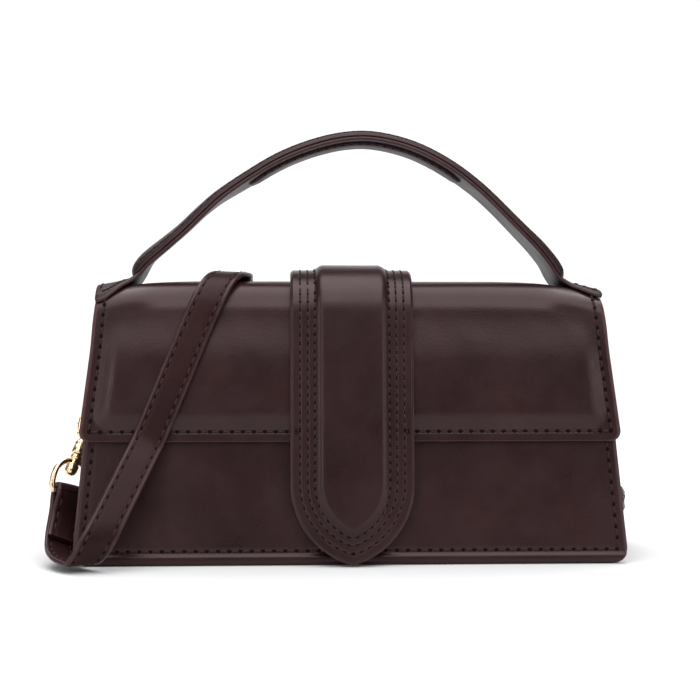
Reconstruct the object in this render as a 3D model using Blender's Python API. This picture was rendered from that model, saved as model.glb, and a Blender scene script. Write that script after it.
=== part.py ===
"""Structured flap shoulder bag: leather body, hinged flap with a top handle and a
centre tab, D-rings, swivel snap hooks and a flat shoulder strap.
All sizes are in millimetres up to the moment a mesh is made, where they become metres.
X is the width, +Y the back, +Z up; the base stands on z = 0."""

import math

import bmesh
import bpy
import numpy as np

# ---------------------------------------------------------------- sizes (mm)
Y_SHIFT = 3.795  # moves every point so that the bag's own box is centred on y = 0
GAP = 0.3  # clearance between parts that touch

LEAN = 0.104  # how far the front leans back for each mm of height
TAPER = 0.085  # how much narrower each side gets for each mm of height
BASE_HALF = 119.8  # half width at the base
PANEL_Y0 = 35.86  # front panel's outside at z = 0
PANEL_T = 2.4
PANEL_CORNER = 7.0

SEAM_Z = 111.5  # where the flap starts, on the back
FLAP_LOW_Z = 53.0
FLAP_T = 2.3
FLAP_LINING_T = 0.8
FLAP_GAP = 0.5  # flap lining to front panel
FLAP_FRONT_Y0 = 39.76  # flap's outside if it went down to z = 0
FRONT_ROLL_R = 15.0
FRONT_ROLL_C = (-13.5, 107.5)
BACK_ROLL_R = 12.0
BACK_ROLL_C = (12.30, 110.5)
TOP_Z = 122.5

TAB_HALF = 26.3
TAB_T = 1.7
TAB_LINING_T = 0.8
TAB_RAISE = 2.3
TAB_MARGIN = 10.2
TAB_SLOPE = 2.4
TAB_TIP_Z = 0.6
TAB_OGIVE = 34.0
TAB_ARCH = 2.1  # how far the tab stands above the flap on the top

STRIP_T = 1.8
COVER_H = 3.7
GRIP_T = 1.5
GRIP_HALF = 7.0

STRAP_W = 14.0
STRAP_T = 2.4
CORNER_PUSH = 2.5  # how far the strap's turn is set out past the bag's corner
SLANT = 0.44  # sideways run of the strap for each mm up the front

RING_WIRE = 2.8
HOOK_WIRE = 2.6
NOSE = 25.0  # where the hook's claw ends, in degrees above its middle

# Underside of the handle strip, from the left top corner to the right one: x, z.
STRIP_PATH = [
    (-110.4, 118.75), (-106.0, 119.75), (-101.0, 121.0), (-96.5, 122.3), (-92.5, 125.2),
    (-88.8, 129.3), (-80.5, 136.5), (-72.1, 144.0), (-64.2, 151.8), (-56.3, 159.1),
    (-45.6, 166.9), (-30.4, 176.0), (-15.1, 182.1), (-0.5, 185.3), (12.5, 185.2),
    (28.2, 181.2), (43.5, 173.5), (56.5, 163.6), (69.9, 150.4), (77.5, 142.6),
    (83.6, 136.2), (88.9, 129.6), (92.6, 124.2), (97.0, 121.2), (102.0, 119.0),
    (106.5, 117.2), (110.4, 115.5),
]


# ---------------------------------------------------------------- small helpers
def clear_scene():
    for o in list(bpy.data.objects):
        bpy.data.objects.remove(o, do_unlink=True)
    for m in list(bpy.data.meshes):
        bpy.data.meshes.remove(m)
    for m in list(bpy.data.materials):
        bpy.data.materials.remove(m)


def material(name, rgb, rough, metal=0.0):
    m = bpy.data.materials.new(name)
    m.use_nodes = True
    p = m.node_tree.nodes["Principled BSDF"]
    p.inputs["Base Color"].default_value = (*rgb, 1.0)
    p.inputs["Roughness"].default_value = rough
    p.inputs["Metallic"].default_value = metal
    m.diffuse_color = (*rgb, 1.0)
    return m


LEATHER = (0.040, 0.021, 0.020)
LINING = (0.105, 0.062, 0.050)
GOLD = (0.86, 0.62, 0.42)


def make(name, verts, faces, rgb, rough, metal=0.0, origin=None, merge=1e-5):
    """One closed mesh object from points in mm; faces are turned outwards."""
    v = np.array(verts, float)
    v = v + np.array([0.0, Y_SHIFT, 0.0])
    v = v * 0.001
    o = np.zeros(3)
    if origin is not None:
        o = (np.array(origin, float) + np.array([0.0, Y_SHIFT, 0.0])) * 0.001
        v = v - o
    mesh = bpy.data.meshes.new(name)
    mesh.from_pydata([tuple(p) for p in v], [], [tuple(int(i) for i in f) for f in faces])
    bm = bmesh.new()
    bm.from_mesh(mesh)
    bmesh.ops.remove_doubles(bm, verts=bm.verts, dist=merge)
    bmesh.ops.dissolve_degenerate(bm, edges=bm.edges, dist=merge)
    if bm.calc_volume(signed=True) < 0:
        bmesh.ops.reverse_faces(bm, faces=bm.faces)
    bm.to_mesh(mesh)
    bm.free()
    mesh.materials.append(material(name + "_mat", rgb, rough, metal))
    obj = bpy.data.objects.new(name, mesh)
    obj.location = tuple(o)
    bpy.context.scene.collection.objects.link(obj)
    return obj


def skins(outer, inner):
    """Closed body between two grids of the same size."""
    n, m = outer.shape[:2]
    verts = np.concatenate([outer.reshape(-1, 3), inner.reshape(-1, 3)])
    k = n * m
    faces = []

    def a(i, j):
        return i * m + j

    for i in range(n - 1):
        for j in range(m - 1):
            faces.append((a(i, j), a(i + 1, j), a(i + 1, j + 1), a(i, j + 1)))
            faces.append((k + a(i, j), k + a(i, j + 1), k + a(i + 1, j + 1), k + a(i + 1, j)))
    for i in range(n - 1):
        faces.append((a(i, 0), k + a(i, 0), k + a(i + 1, 0), a(i + 1, 0)))
        faces.append((a(i, m - 1), a(i + 1, m - 1), k + a(i + 1, m - 1), k + a(i, m - 1)))
    for j in range(m - 1):
        faces.append((a(0, j), a(0, j + 1), k + a(0, j + 1), k + a(0, j)))
        faces.append((a(n - 1, j), k + a(n - 1, j), k + a(n - 1, j + 1), a(n - 1, j + 1)))
    return verts, faces


def loft(loops, closed=False, caps=True):
    """Closed body through section loops of the same number of points."""
    loops = np.array(loops, float)
    n, m = loops.shape[:2]
    verts = loops.reshape(-1, 3)
    faces = []
    last = n if closed else n - 1
    for i in range(last):
        i2 = (i + 1) % n
        for j in range(m):
            j2 = (j + 1) % m
            faces.append((i * m + j, i * m + j2, i2 * m + j2, i2 * m + j))
    if not closed and caps:
        faces.append(tuple(range(m - 1, -1, -1)))
        faces.append(tuple((n - 1) * m + j for j in range(m)))
    return verts, faces


def unit(v):
    v = np.array(v, float)
    return v / max(np.linalg.norm(v), 1e-12)


def smooth(t):
    t = np.clip(t, 0.0, 1.0)
    return t * t * (3 - 2 * t)


def tube(points, radius, sides=10, closed=False, up=(0, 0, 1)):
    """Round bar along a list of points."""
    p = np.array(points, float)
    n = len(p)
    if closed:
        t = np.roll(p, -1, 0) - np.roll(p, 1, 0)
    else:
        t = np.gradient(p, axis=0)
    t = t / np.linalg.norm(t, axis=1)[:, None]
    ref = unit(np.cross(t[0], up))
    loops = []
    for i in range(n):
        ref = unit(ref - t[i] * (ref @ t[i]))
        other = np.cross(t[i], ref)
        r = radius[i] if hasattr(radius, "__len__") else radius
        loops.append([p[i] + r * (math.cos(2 * math.pi * k / sides) * ref + math.sin(2 * math.pi * k / sides) * other) for k in range(sides)])
    return loft(loops, closed=closed)


def ribbon(points, across, width, thick):
    """Flat strip along points; across gives the width's direction at each point."""
    p = np.array(points, float)
    w = np.array(across, float)
    t = np.gradient(p, axis=0)
    t = t / np.linalg.norm(t, axis=1)[:, None]
    loops = []
    for i in range(len(p)):
        a = unit(w[i] - t[i] * (w[i] @ t[i]))
        n = np.cross(t[i], a)
        hw = (width[i] if hasattr(width, "__len__") else width) / 2
        ht = thick / 2
        loops.append([p[i] + a * sx * hw + n * sy * ht for sx, sy in ((-1, -1), (1, -1), (1, 1), (-1, 1))])
    return loft(loops)


def curve(points, step, extra=None):
    """Smooth line through points, resampled at about step; extra columns follow along."""
    p = np.array(points, float)
    e = None if extra is None else np.array(extra, float)
    q = np.concatenate([[2 * p[0] - p[1]], p, [2 * p[-1] - p[-2]]])
    out, oute = [], []
    for i in range(1, len(q) - 2):
        a, b, c, d = q[i - 1], q[i], q[i + 1], q[i + 2]
        k = max(2, int(round(np.linalg.norm(c - b) / (step / 6))))
        for s in np.arange(k) / k:
            out.append(0.5 * ((2 * b) + (c - a) * s + (2 * a - 5 * b + 4 * c - d) * s * s + (3 * b - a - 3 * c + d) * s ** 3))
            if e is not None:
                u = smooth(s)
                oute.append(e[i - 1] * (1 - u) + e[i] * u)
    out.append(p[-1])
    out = np.array(out)
    if e is not None:
        oute.append(e[-1])
        oute = np.array(oute)
    d = np.concatenate([[0], np.cumsum(np.linalg.norm(np.diff(out, axis=0), axis=1))])
    n = max(2, int(round(d[-1] / step)) + 1)
    at = np.linspace(0, d[-1], n)
    res = np.stack([np.interp(at, d, out[:, k]) for k in range(out.shape[1])], 1)
    if e is None:
        return res
    return res, np.stack([np.interp(at, d, oute[:, k]) for k in range(e.shape[1])], 1)


def frame_of(axis):
    a = unit(axis)
    ref = (0, 0, 1) if abs(a[2]) < 0.9 else (1, 0, 0)
    b = unit(np.cross(a, ref))
    return a, b, np.cross(a, b)


def on_floor(points, across, width, thick, least=0.35):
    """Lift the points of a strip where its section would reach below the floor."""
    p, w = np.array(points, float), np.array(across, float)
    for _ in range(3):
        t = np.gradient(p, axis=0)
        t = t / np.linalg.norm(t, axis=1)[:, None]
        for i in range(len(p)):
            a = unit(w[i] - t[i] * (w[i] @ t[i]))
            n = np.cross(t[i], a)
            reach = abs(a[2]) * width / 2 + abs(n[2]) * thick / 2
            p[i][2] = max(p[i][2], least + reach)
    return p


def disc(centre, axis, r, h, sides=28, bore=0.0, chamfer=0.2):
    """Round plate from centre along axis, with a bevelled far edge and, if asked, a bore."""
    a, b, c = frame_of(axis)
    rows = [(r, 0.0), (r, h - chamfer), (r - chamfer, h)]
    if bore:
        rows += [(bore, h), (bore, 0.0)]
    loops = []
    for rad, at in rows:
        loops.append([np.array(centre, float) + a * at + rad * (math.cos(2 * math.pi * k / sides) * b + math.sin(2 * math.pi * k / sides) * c) for k in range(sides)])
    return loft(loops, closed=bool(bore))


# ---------------------------------------------------------------- shape of the bag
def half_width(z):
    return BASE_HALF - TAPER * z


def front_y(z):
    return -PANEL_Y0 + LEAN * z


def droop(x, z):
    """The top falls a little towards both ends, more on the right."""
    t = np.clip((np.abs(x) - 55.0) / 55.0, 0, 1.05) ** 3
    fall = np.where(x > 0, 6.5, 4.0) * t
    return -fall * smooth((z - 92.0) / 28.0)


def skin_line(start_z, end_z, step=3.2):
    """The outside of the flap in the Y-Z plane, from the back seam over the top and
    down the front: points and outward normals."""
    pts, nor = [], []
    ang = math.atan(LEAN)
    cb, cf = np.array(BACK_ROLL_C), np.array(FRONT_ROLL_C)
    z = start_z
    zr = cb[1] + BACK_ROLL_R * math.sin(ang)
    if z < zr - 0.05:
        for s in np.arange(z, zr - 0.02, step):
            pts.append((PANEL_Y0 - LEAN * s, s))
            nor.append((math.cos(ang), math.sin(ang)))
    k = 6
    for i in range(k + 1):
        a = ang + (math.pi / 2 - ang) * i / k
        pts.append(cb + BACK_ROLL_R * np.array([math.cos(a), math.sin(a)]))
        nor.append((math.cos(a), math.sin(a)))
    for y in np.linspace(cb[0], cf[0], 4)[1:-1]:
        pts.append((y, TOP_Z))
        nor.append((0.0, 1.0))
    k = 7
    for i in range(k + 1):
        a = math.pi / 2 + (math.pi / 2 - ang) * i / k
        pts.append(cf + FRONT_ROLL_R * np.array([math.cos(a), math.sin(a)]))
        nor.append((math.cos(a), math.sin(a)))
    z0 = pts[-1][1]
    n = max(1, int(round((z0 - end_z) / (step * 3))))
    for i in range(1, n + 1):
        z = z0 + (end_z - z0) * i / n
        pts.append((-FLAP_FRONT_Y0 + LEAN * z, z))
        nor.append((-math.cos(ang), math.sin(ang)))
    return np.array(pts, float), np.array(nor, float)


def line_length(p):
    return np.concatenate([[0], np.cumsum(np.linalg.norm(np.diff(p, axis=0), axis=1))])


def flap_half(z):
    """Half width of the flap by height: it flares over the body towards its lower edge."""
    return np.where(z > 109.0, half_width(z) + 0.0, half_width(109.0) + 0.12 * (109.0 - z))


def flap_surface(xs, pts, nor, off, corner=7.0):
    """Grid of the flap at a depth off under its outside; lower corners rounded."""
    rows = []
    for (y, z), (ny, nz) in zip(pts, nor):
        hw = float(flap_half(z))
        d = z - FLAP_LOW_Z
        if y < 0 and d < corner:
            hw -= corner - math.sqrt(max(corner ** 2 - (corner - d) ** 2, 0.0))
        row = []
        for u in xs:
            x = u * hw
            fall = float(droop(np.array(x), z))
            lean = -LEAN * fall * (1 - float(smooth((z - SEAM_Z) / 8.0))) if y > 0 else 0.0
            row.append((x, y + lean - ny * off, z - nz * off + fall))
        rows.append(row)
    return np.array(rows, float)


def panel(name, sign, z_top, rgb):
    """Front (sign -1) or back (sign +1) panel, lower corners rounded."""
    zs = [0.0, 0.8, 2.0, 3.6, 6.0, 20.0, 40.0, 60.0, 80.0, 100.0, z_top]
    us = np.array([-1, -0.9, -0.6, -0.3, 0, 0.3, 0.6, 0.9, 1])
    outer, inner = [], []
    for z in zs:
        hw = half_width(z)
        if z < PANEL_CORNER:
            hw -= PANEL_CORNER - math.sqrt(PANEL_CORNER ** 2 - (PANEL_CORNER - z) ** 2)
        x = us * hw
        y = sign * (PANEL_Y0 - LEAN * z)
        fall = droop(x, z) if sign > 0 else x * 0
        edge = 0.45 if sign > 0 and z == z_top else 0.0
        yy = y - sign * LEAN * fall
        outer.append(np.stack([x, yy, z + fall], 1))
        inner.append(np.stack([x, yy - sign * PANEL_T, z + fall - edge], 1))
    v, f = skins(np.array(outer), np.array(inner))
    return make(name, v, f, rgb, 0.4)


def gusset(name, side):
    zs = np.linspace(3.0, 106.5, 9)
    vs = np.linspace(-1, 1, 9)
    outer, inner = [], []
    for z in zs:
        ya = front_y(z) + PANEL_T + GAP
        row_o, row_i = [], []
        for v in vs:
            x = half_width(z) - 5.0 - 2.0 * (1 - v * v)
            row_o.append((side * x, v * -ya, z))
            row_i.append((side * (x - 1.6), v * -ya, z))
        outer.append(row_o)
        inner.append(row_i)
    v, f = skins(np.array(outer), np.array(inner))
    return make(name, v, f, LEATHER, 0.42)


def box(name, x0, x1, y0, y1, z0, z1, rgb, rough, metal=0.0, bevel=0.0, cut_bevel=None):
    b = bevel
    loops = []
    for z, s in ((z0, b), (z0 + b, 0.0), (z1 - b, 0.0), (z1, b)) if b else ((z0, 0.0), (z1, 0.0)):
        xa, xb, ya, yb = x0 + s, x1 - s, y0 + s, y1 - s
        r = 2.5
        pts = []
        for cx, cy, a0 in ((xb - r, yb - r, 0), (xa + r, yb - r, 90), (xa + r, ya + r, 180), (xb - r, ya + r, 270)):
            for k in range(4):
                a = math.radians(a0 + 30 * k)
                pts.append((cx + r * math.cos(a), cy + r * math.sin(a), z))
        loops.append(pts)
    v, f = loft(loops)
    return make(name, v, f, rgb, rough, metal)


# ---------------------------------------------------------------- the body
clear_scene()

panel("front_panel", -1, 102.0, LEATHER)
panel("back_panel", 1, SEAM_Z - GAP / 2 - 0.15, LEATHER)
gusset("left_gusset", -1)
gusset("right_gusset", 1)
box("bottom_panel", -116.5, 116.5, -32.9, 32.9, 0.0, 2.7, LEATHER, 0.45, bevel=0.4)
box("base_board", -108.5, 108.5, -31.5, 31.5, 3.0, 5.0, (0.20, 0.17, 0.14), 0.8)


def lining():
    """Open bag of lining fabric: outside up, over the rim, inside down."""
    def loop(z, inset):
        hx = half_width(z) - 5.0 - 2.0 - 1.6 - GAP - 0.2 - inset
        hy = -front_y(z) - PANEL_T - GAP - inset
        r = 6.0
        pts = []
        for cx, cy, a0 in ((hx - r, hy - r, 0), (-hx + r, hy - r, 90), (-hx + r, -hy + r, 180), (hx - r, -hy + r, 270)):
            for k in range(5):
                a = math.radians(a0 + 22.5 * k)
                pts.append((cx + r * math.cos(a), cy + r * math.sin(a), z))
        return pts
    t = 1.0
    floor = 5.3
    loops = [loop(floor, 1.5), loop(floor + 1.2, 0.0)] + [loop(z, 0.0) for z in (40.0, 75.0, 101.0)]
    loops += [loop(z, t) for z in (101.0, 75.0, 40.0, floor + 1.2 + t)] + [loop(floor + t, t + 1.5)]
    v, f = loft(loops)
    make("lining", v, f, LINING, 0.85)


lining()


def slip_pocket():
    """Flat pocket on the back wall of the lining: a front sheet with turned sides and
    foot, open at the top."""
    back = 1.0 + GAP  # lining thickness and clearance
    hx, z0, z1, deep, t = 62.0, 32.0, 88.0, 4.0, 0.9

    def wall(z):
        return -front_y(z) - PANEL_T - GAP - back

    def loop(z, inset, d0, d1):
        y1, y0 = wall(z) - d0, wall(z) - d1
        return [(-hx + inset, y1, z), (-hx + inset, y0, z), (hx - inset, y0, z), (hx - inset, y1, z)]
    loops = [loop(z0, 0, 0, deep), loop(60, 0, 0, deep), loop(z1, 0, 0, deep), loop(z1, t, t, deep - t), loop(60, t, t, deep - t), loop(z0 + t, t, t, deep - t)]
    v, f = loft(loops)
    make("slip_pocket", v, f, LINING, 0.85)


slip_pocket()


# ---------------------------------------------------------------- flap
def flap_parts():
    pts, nor = skin_line(SEAM_Z + GAP / 2, FLAP_LOW_Z)
    extra = []
    for z in (FLAP_LOW_Z + 7.0, FLAP_LOW_Z + 4.0, FLAP_LOW_Z + 1.9, FLAP_LOW_Z + 0.6):
        extra.append(z)
    keep = [i for i in range(len(pts)) if not (pts[i][0] < 0 and pts[i][1] < FLAP_LOW_Z + 8.0)]
    p = [tuple(pts[i]) for i in keep]
    n = [tuple(nor[i]) for i in keep]
    ang = math.atan(LEAN)
    for z in extra + [FLAP_LOW_Z]:
        p.append((-FLAP_FRONT_Y0 + LEAN * z, z))
        n.append((-math.cos(ang), math.sin(ang)))
    p, n = np.array(p), np.array(n)
    xs = np.array([-1, -0.9, -0.75, -0.5, 0, 0.5, 0.75, 0.9, 1])
    v, f = skins(flap_surface(xs, p, n, 0.0), flap_surface(xs, p, n, FLAP_T))
    make("flap_panel", v, f, LEATHER, 0.4, origin=HINGE)
    inset = 0.985
    d0 = FLAP_T + GAP
    v, f = skins(flap_surface(xs * inset, p[:-1], n[:-1], d0, 6.0), flap_surface(xs * inset, p[:-1], n[:-1], d0 + FLAP_LINING_T, 6.0))
    make("flap_lining", v, f, LINING, 0.7, origin=HINGE)


def tab_gap(s, total_top):
    """Clearance between flap and tab along the line: it stands clear over the top."""
    return GAP + TAB_ARCH * smooth((s - total_top[0]) / 12.0) * (1 - smooth((s - total_top[1]) / 20.0))


def tab_outline(z):
    """Half width of the tab by height."""
    h = z - TAB_TIP_Z
    if h >= TAB_OGIVE:
        return TAB_HALF
    t = max(h, 0.0) / TAB_OGIVE
    r = (TAB_OGIVE ** 2 + TAB_HALF ** 2) / (2 * TAB_HALF)
    w = TAB_HALF - r + math.sqrt(max(r * r - (TAB_OGIVE - h) ** 2, 0.0))
    return max(w, 0.0)


def tab_rows(start_z, end_z):
    pts, nor = skin_line(start_z, TAB_TIP_Z + TAB_OGIVE + 4)
    ang = math.atan(LEAN)
    p, n = [tuple(q) for q in pts], [tuple(q) for q in nor]
    for h in (TAB_OGIVE, 29, 24, 19.5, 16, 13, 10.5, 8, 5.6, 3.8, 2.2, 1.0, 0.3, 0.0):
        z = TAB_TIP_Z + h
        p.append((-FLAP_FRONT_Y0 + LEAN * z, z))
        n.append((-math.cos(ang), math.sin(ang)))
    return np.array(p), np.array(n)


def tab_grid(p, n, raise_at, depth, flat=False):
    """Tab surface depth above the flap's outside; raise_at lifts the centre."""
    s = line_length(p)
    s_top0 = 14.0
    s_front = s[int(np.argmax(p[:, 0] < FRONT_ROLL_C[0] - FRONT_ROLL_R * 0.8))]
    rows = []
    for k, ((y, z), (ny, nz)) in enumerate(zip(p, n)):
        w = tab_outline(z) if y < 0 and z < 60 else TAB_HALF
        wi = w
        if y < 0 and z < TAB_TIP_Z + TAB_OGIVE:
            # the raised centre keeps the same margin inside the arch
            m = TAB_MARGIN * 1.02
            wi = tab_outline(z - m * 0.62) - m * 0.80
            if z - m * 0.62 < TAB_TIP_Z + 0.5:
                wi = 0.0
            wi = min(max(wi, 0.0), TAB_HALF - TAB_MARGIN)
        else:
            wi = TAB_HALF - TAB_MARGIN
        wj = max(wi - TAB_SLOPE, 0.0)
        wi = min(wi, w)
        g = tab_gap(s[k], (s_top0 - 9.0, s_front - 20.0))
        lift = depth + g
        up = 0.0 if flat else TAB_RAISE * raise_at(s[k])
        up *= smooth(wj / 3.0) if wj < 3.0 else 1.0
        row = []
        for x, e in ((-w, 0), (-wi, 0), (-wj, up), (-wj / 2, up), (0, up), (wj / 2, up), (wj, up), (wi, 0), (w, 0)):
            row.append((x, y + ny * (lift + e), z + nz * (lift + e)))
        rows.append(row)
    return np.array(rows, float)


HINGE = (0.0, 29.2, SEAM_Z)
flap_parts()


def tab_parts():
    p, n = tab_rows(SEAM_Z + GAP / 2, TAB_TIP_Z)

    def raised(s):
        return 0.25 + 0.75 * float(smooth((s - 2.0) / 16.0))
    d = TAB_LINING_T + GAP
    v, f = skins(tab_grid(p, n, raised, d + TAB_T), tab_grid(p, n, raised, d, flat=True))
    make("tab_panel", v, f, LEATHER, 0.4, origin=HINGE)
    q, m = p[:-2], n[:-2]
    v, f = skins(tab_grid(q, m, raised, TAB_LINING_T, flat=True), tab_grid(q, m, raised, 0.0, flat=True))
    v = v * np.array([0.985, 1, 1])
    make("tab_lining", v, f, LINING, 0.6, origin=HINGE)
    # the tab's rear end, sewn to the back panel below the seam
    ang = math.atan(LEAN)
    zs = [82.0, 83.0, 85.0, 90.0, 100.0, SEAM_Z - GAP / 2]
    outer, inner = [], []
    for z in zs:
        w = TAB_HALF - max(0.0, 3.0 - (z - 82.0)) * 0.7
        y = PANEL_Y0 - LEAN * z
        cols = [(-w, 0), (-(TAB_HALF - TAB_MARGIN), 0), (-(TAB_HALF - TAB_MARGIN - TAB_SLOPE), 0.25 * TAB_RAISE), (0, 0.25 * TAB_RAISE), (TAB_HALF - TAB_MARGIN - TAB_SLOPE, 0.25 * TAB_RAISE), (TAB_HALF - TAB_MARGIN, 0), (w, 0)]
        t = TAB_T + TAB_LINING_T + 2 * GAP
        outer.append([(x, y + math.cos(ang) * (t + e), z + math.sin(ang) * (t + e)) for x, e in cols])
        inner.append([(x, y + math.cos(ang) * GAP, z + math.sin(ang) * GAP) for x, e in cols])
    v, f = skins(np.array(outer), np.array(inner))
    make("tab_back", v, f, LEATHER, 0.4)


tab_parts()

# magnetic closure: one disc on the front panel, one on the back of the tab
MAG_Z = 24.0
ny, nz = -math.cos(math.atan(LEAN)), math.sin(math.atan(LEAN))
c = np.array([0.0, front_y(MAG_Z), MAG_Z])
v, f = disc(c + np.array([0, ny, nz]) * GAP, (0, ny, nz), 8.5, 1.3, bore=1.6)
make("magnet_front", v, f, GOLD, 0.25, 1.0)
c2 = np.array([0.0, -FLAP_FRONT_Y0 + LEAN * MAG_Z, MAG_Z])
v, f = disc(c2, (0, -ny, -nz), 8.5, 1.5)
make("magnet_tab", v, f, GOLD, 0.25, 1.0, origin=HINGE)


# ---------------------------------------------------------------- handle
def arch():
    """Underside line of the handle strip with inward-out normals, in X-Z."""
    line = curve(STRIP_PATH, 6.6)
    t = np.gradient(line, axis=0)
    t = t / np.linalg.norm(t, axis=1)[:, None]
    nrm = np.stack([-t[:, 1], t[:, 0]], 1)
    return line, nrm


def roll_drop(y):
    """How far the flap's outside falls below its top at this depth."""
    if y < FRONT_ROLL_C[0]:
        d = min(FRONT_ROLL_C[0] - y, FRONT_ROLL_R - 0.6)
        return FRONT_ROLL_R - math.sqrt(FRONT_ROLL_R ** 2 - d * d)
    if y > BACK_ROLL_C[0]:
        d = min(y - BACK_ROLL_C[0], BACK_ROLL_R - 0.6)
        return BACK_ROLL_R - math.sqrt(BACK_ROLL_R ** 2 - d * d)
    return 0.0


def under(x, y, z):
    """Height of the strip's underside: on its line, lying on the flap at both ends."""
    k = float(smooth((abs(x) - 89.0) / 9.0))
    top = TOP_Z - roll_drop(y)
    lying = top + float(droop(np.array(x), top)) + 0.62
    return max(z - k * roll_drop(y), lying if abs(x) > 84.0 else -1e9)


def strip_half(x):
    """Front and back half widths of the strip by distance from the middle."""
    a = abs(x)
    w = 12.5 + 3.5 * float(smooth((a - 45.0) / 40.0))
    front = w + 10.0 * float(smooth((a - 92.0) / 17.0))
    back = w + 4.5 * float(smooth((a - 92.0) / 17.0))
    return front, back


def strip_grid(line, nrm, off, shrink=0.0):
    rows = []
    for (x, z), (nx, nz_) in zip(line, nrm):
        front, back = strip_half(x)
        front, back = front - shrink, back - shrink
        row = []
        for u in (-1, -0.9, -0.8, -0.69, -0.56, -0.25, 0.25, 0.62, 0.82, 1):
            y = u * front if u < 0 else u * back
            row.append((x + nx * off, y, under(x, y, z) + nz_ * off))
        rows.append(row)
    return np.array(rows, float)


def handle_parts():
    line, nrm = arch()
    v, f = skins(strip_grid(line, nrm, STRIP_T), strip_grid(line, nrm, 0.0))
    make("handle_strip", v, f, LEATHER, 0.42, origin=HINGE)
    s = line_length(line)
    xs = line[:, 0]
    a = np.interp(-95.5, xs, s)
    b = np.interp(95.0, xs, s)
    at = np.concatenate([[a, a + 0.5, a + 1.6, a + 3.2, a + 5.5], np.linspace(a + 8.5, b - 8.5, 32), [b - 5.5, b - 3.2, b - 1.6, b - 0.5, b]])
    cl = np.stack([np.interp(at, s, line[:, 0]), np.interp(at, s, line[:, 1])], 1)
    cn = np.stack([np.interp(at, s, nrm[:, 0]), np.interp(at, s, nrm[:, 1])], 1)
    cn = cn / np.linalg.norm(cn, axis=1)[:, None]
    base = STRIP_T + GAP
    top, low = [], []
    us = np.array([-1, -0.92, -0.7, -0.35, 0.35, 0.7, 0.92, 1])
    for i, ((x, z), (nx, nz_)) in enumerate(zip(cl, cn)):
        front, back = strip_half(min(max(x, -90), 90))
        d = min(at[i] - a, b - at[i])
        e = math.sqrt(max(1 - (1 - min(d, 6.0) / 6.0) ** 2, 0.0)) if d < 6.0 else 1.0
        w = (min(front, back) - 0.6) * (0.55 + 0.45 * e)
        bulge = 1.0 + 0.35 * float(smooth((abs(x) - 70.0) / 20.0))
        rt, rl = [], []
        for u in us:
            y = u * w
            h = (1.0 + (COVER_H - 1.0) * bulge * (1 - abs(u) ** 2.6) ** 0.62) * (0.35 + 0.65 * e)
            zz = under(x, y, z)
            rl.append((x + nx * base, y, zz + nz_ * base))
            rt.append((x + nx * (base + h), y, zz + nz_ * (base + h)))
        top.append(rt)
        low.append(rl)
    v, f = skins(np.array(top), np.array(low))
    make("handle_cover", v, f, LEATHER, 0.38, origin=HINGE)
    a, b = np.interp(-45.0, xs, s), np.interp(50.5, xs, s)
    at = np.linspace(a, b, 22)
    cl = np.stack([np.interp(at, s, line[:, 0]), np.interp(at, s, line[:, 1])], 1)
    cn = np.stack([np.interp(at, s, nrm[:, 0]), np.interp(at, s, nrm[:, 1])], 1)
    cn = cn / np.linalg.norm(cn, axis=1)[:, None]
    ends = np.minimum(at - a, b - at)
    wid = GRIP_HALF * (0.7 + 0.3 * np.sqrt(np.clip(ends / 5.0, 0, 1)))
    up, lo = [], []
    for i in range(len(at)):
        cols = np.linspace(-1, 1, 5) * wid[i]
        up.append([(cl[i, 0] - cn[i, 0] * GAP, y, cl[i, 1] - cn[i, 1] * GAP) for y in cols])
        t = GRIP_T
        lo.append([(cl[i, 0] - cn[i, 0] * (GAP + t * (1 - 0.25 * abs(y / wid[i]) ** 3)), y, cl[i, 1] - cn[i, 1] * (GAP + t * (1 - 0.25 * abs(y / wid[i]) ** 3))) for y in cols])
    v, f = skins(np.array(up), np.array(lo))
    make("handle_grip", v, f, LEATHER, 0.5, origin=HINGE)


handle_parts()


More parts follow.
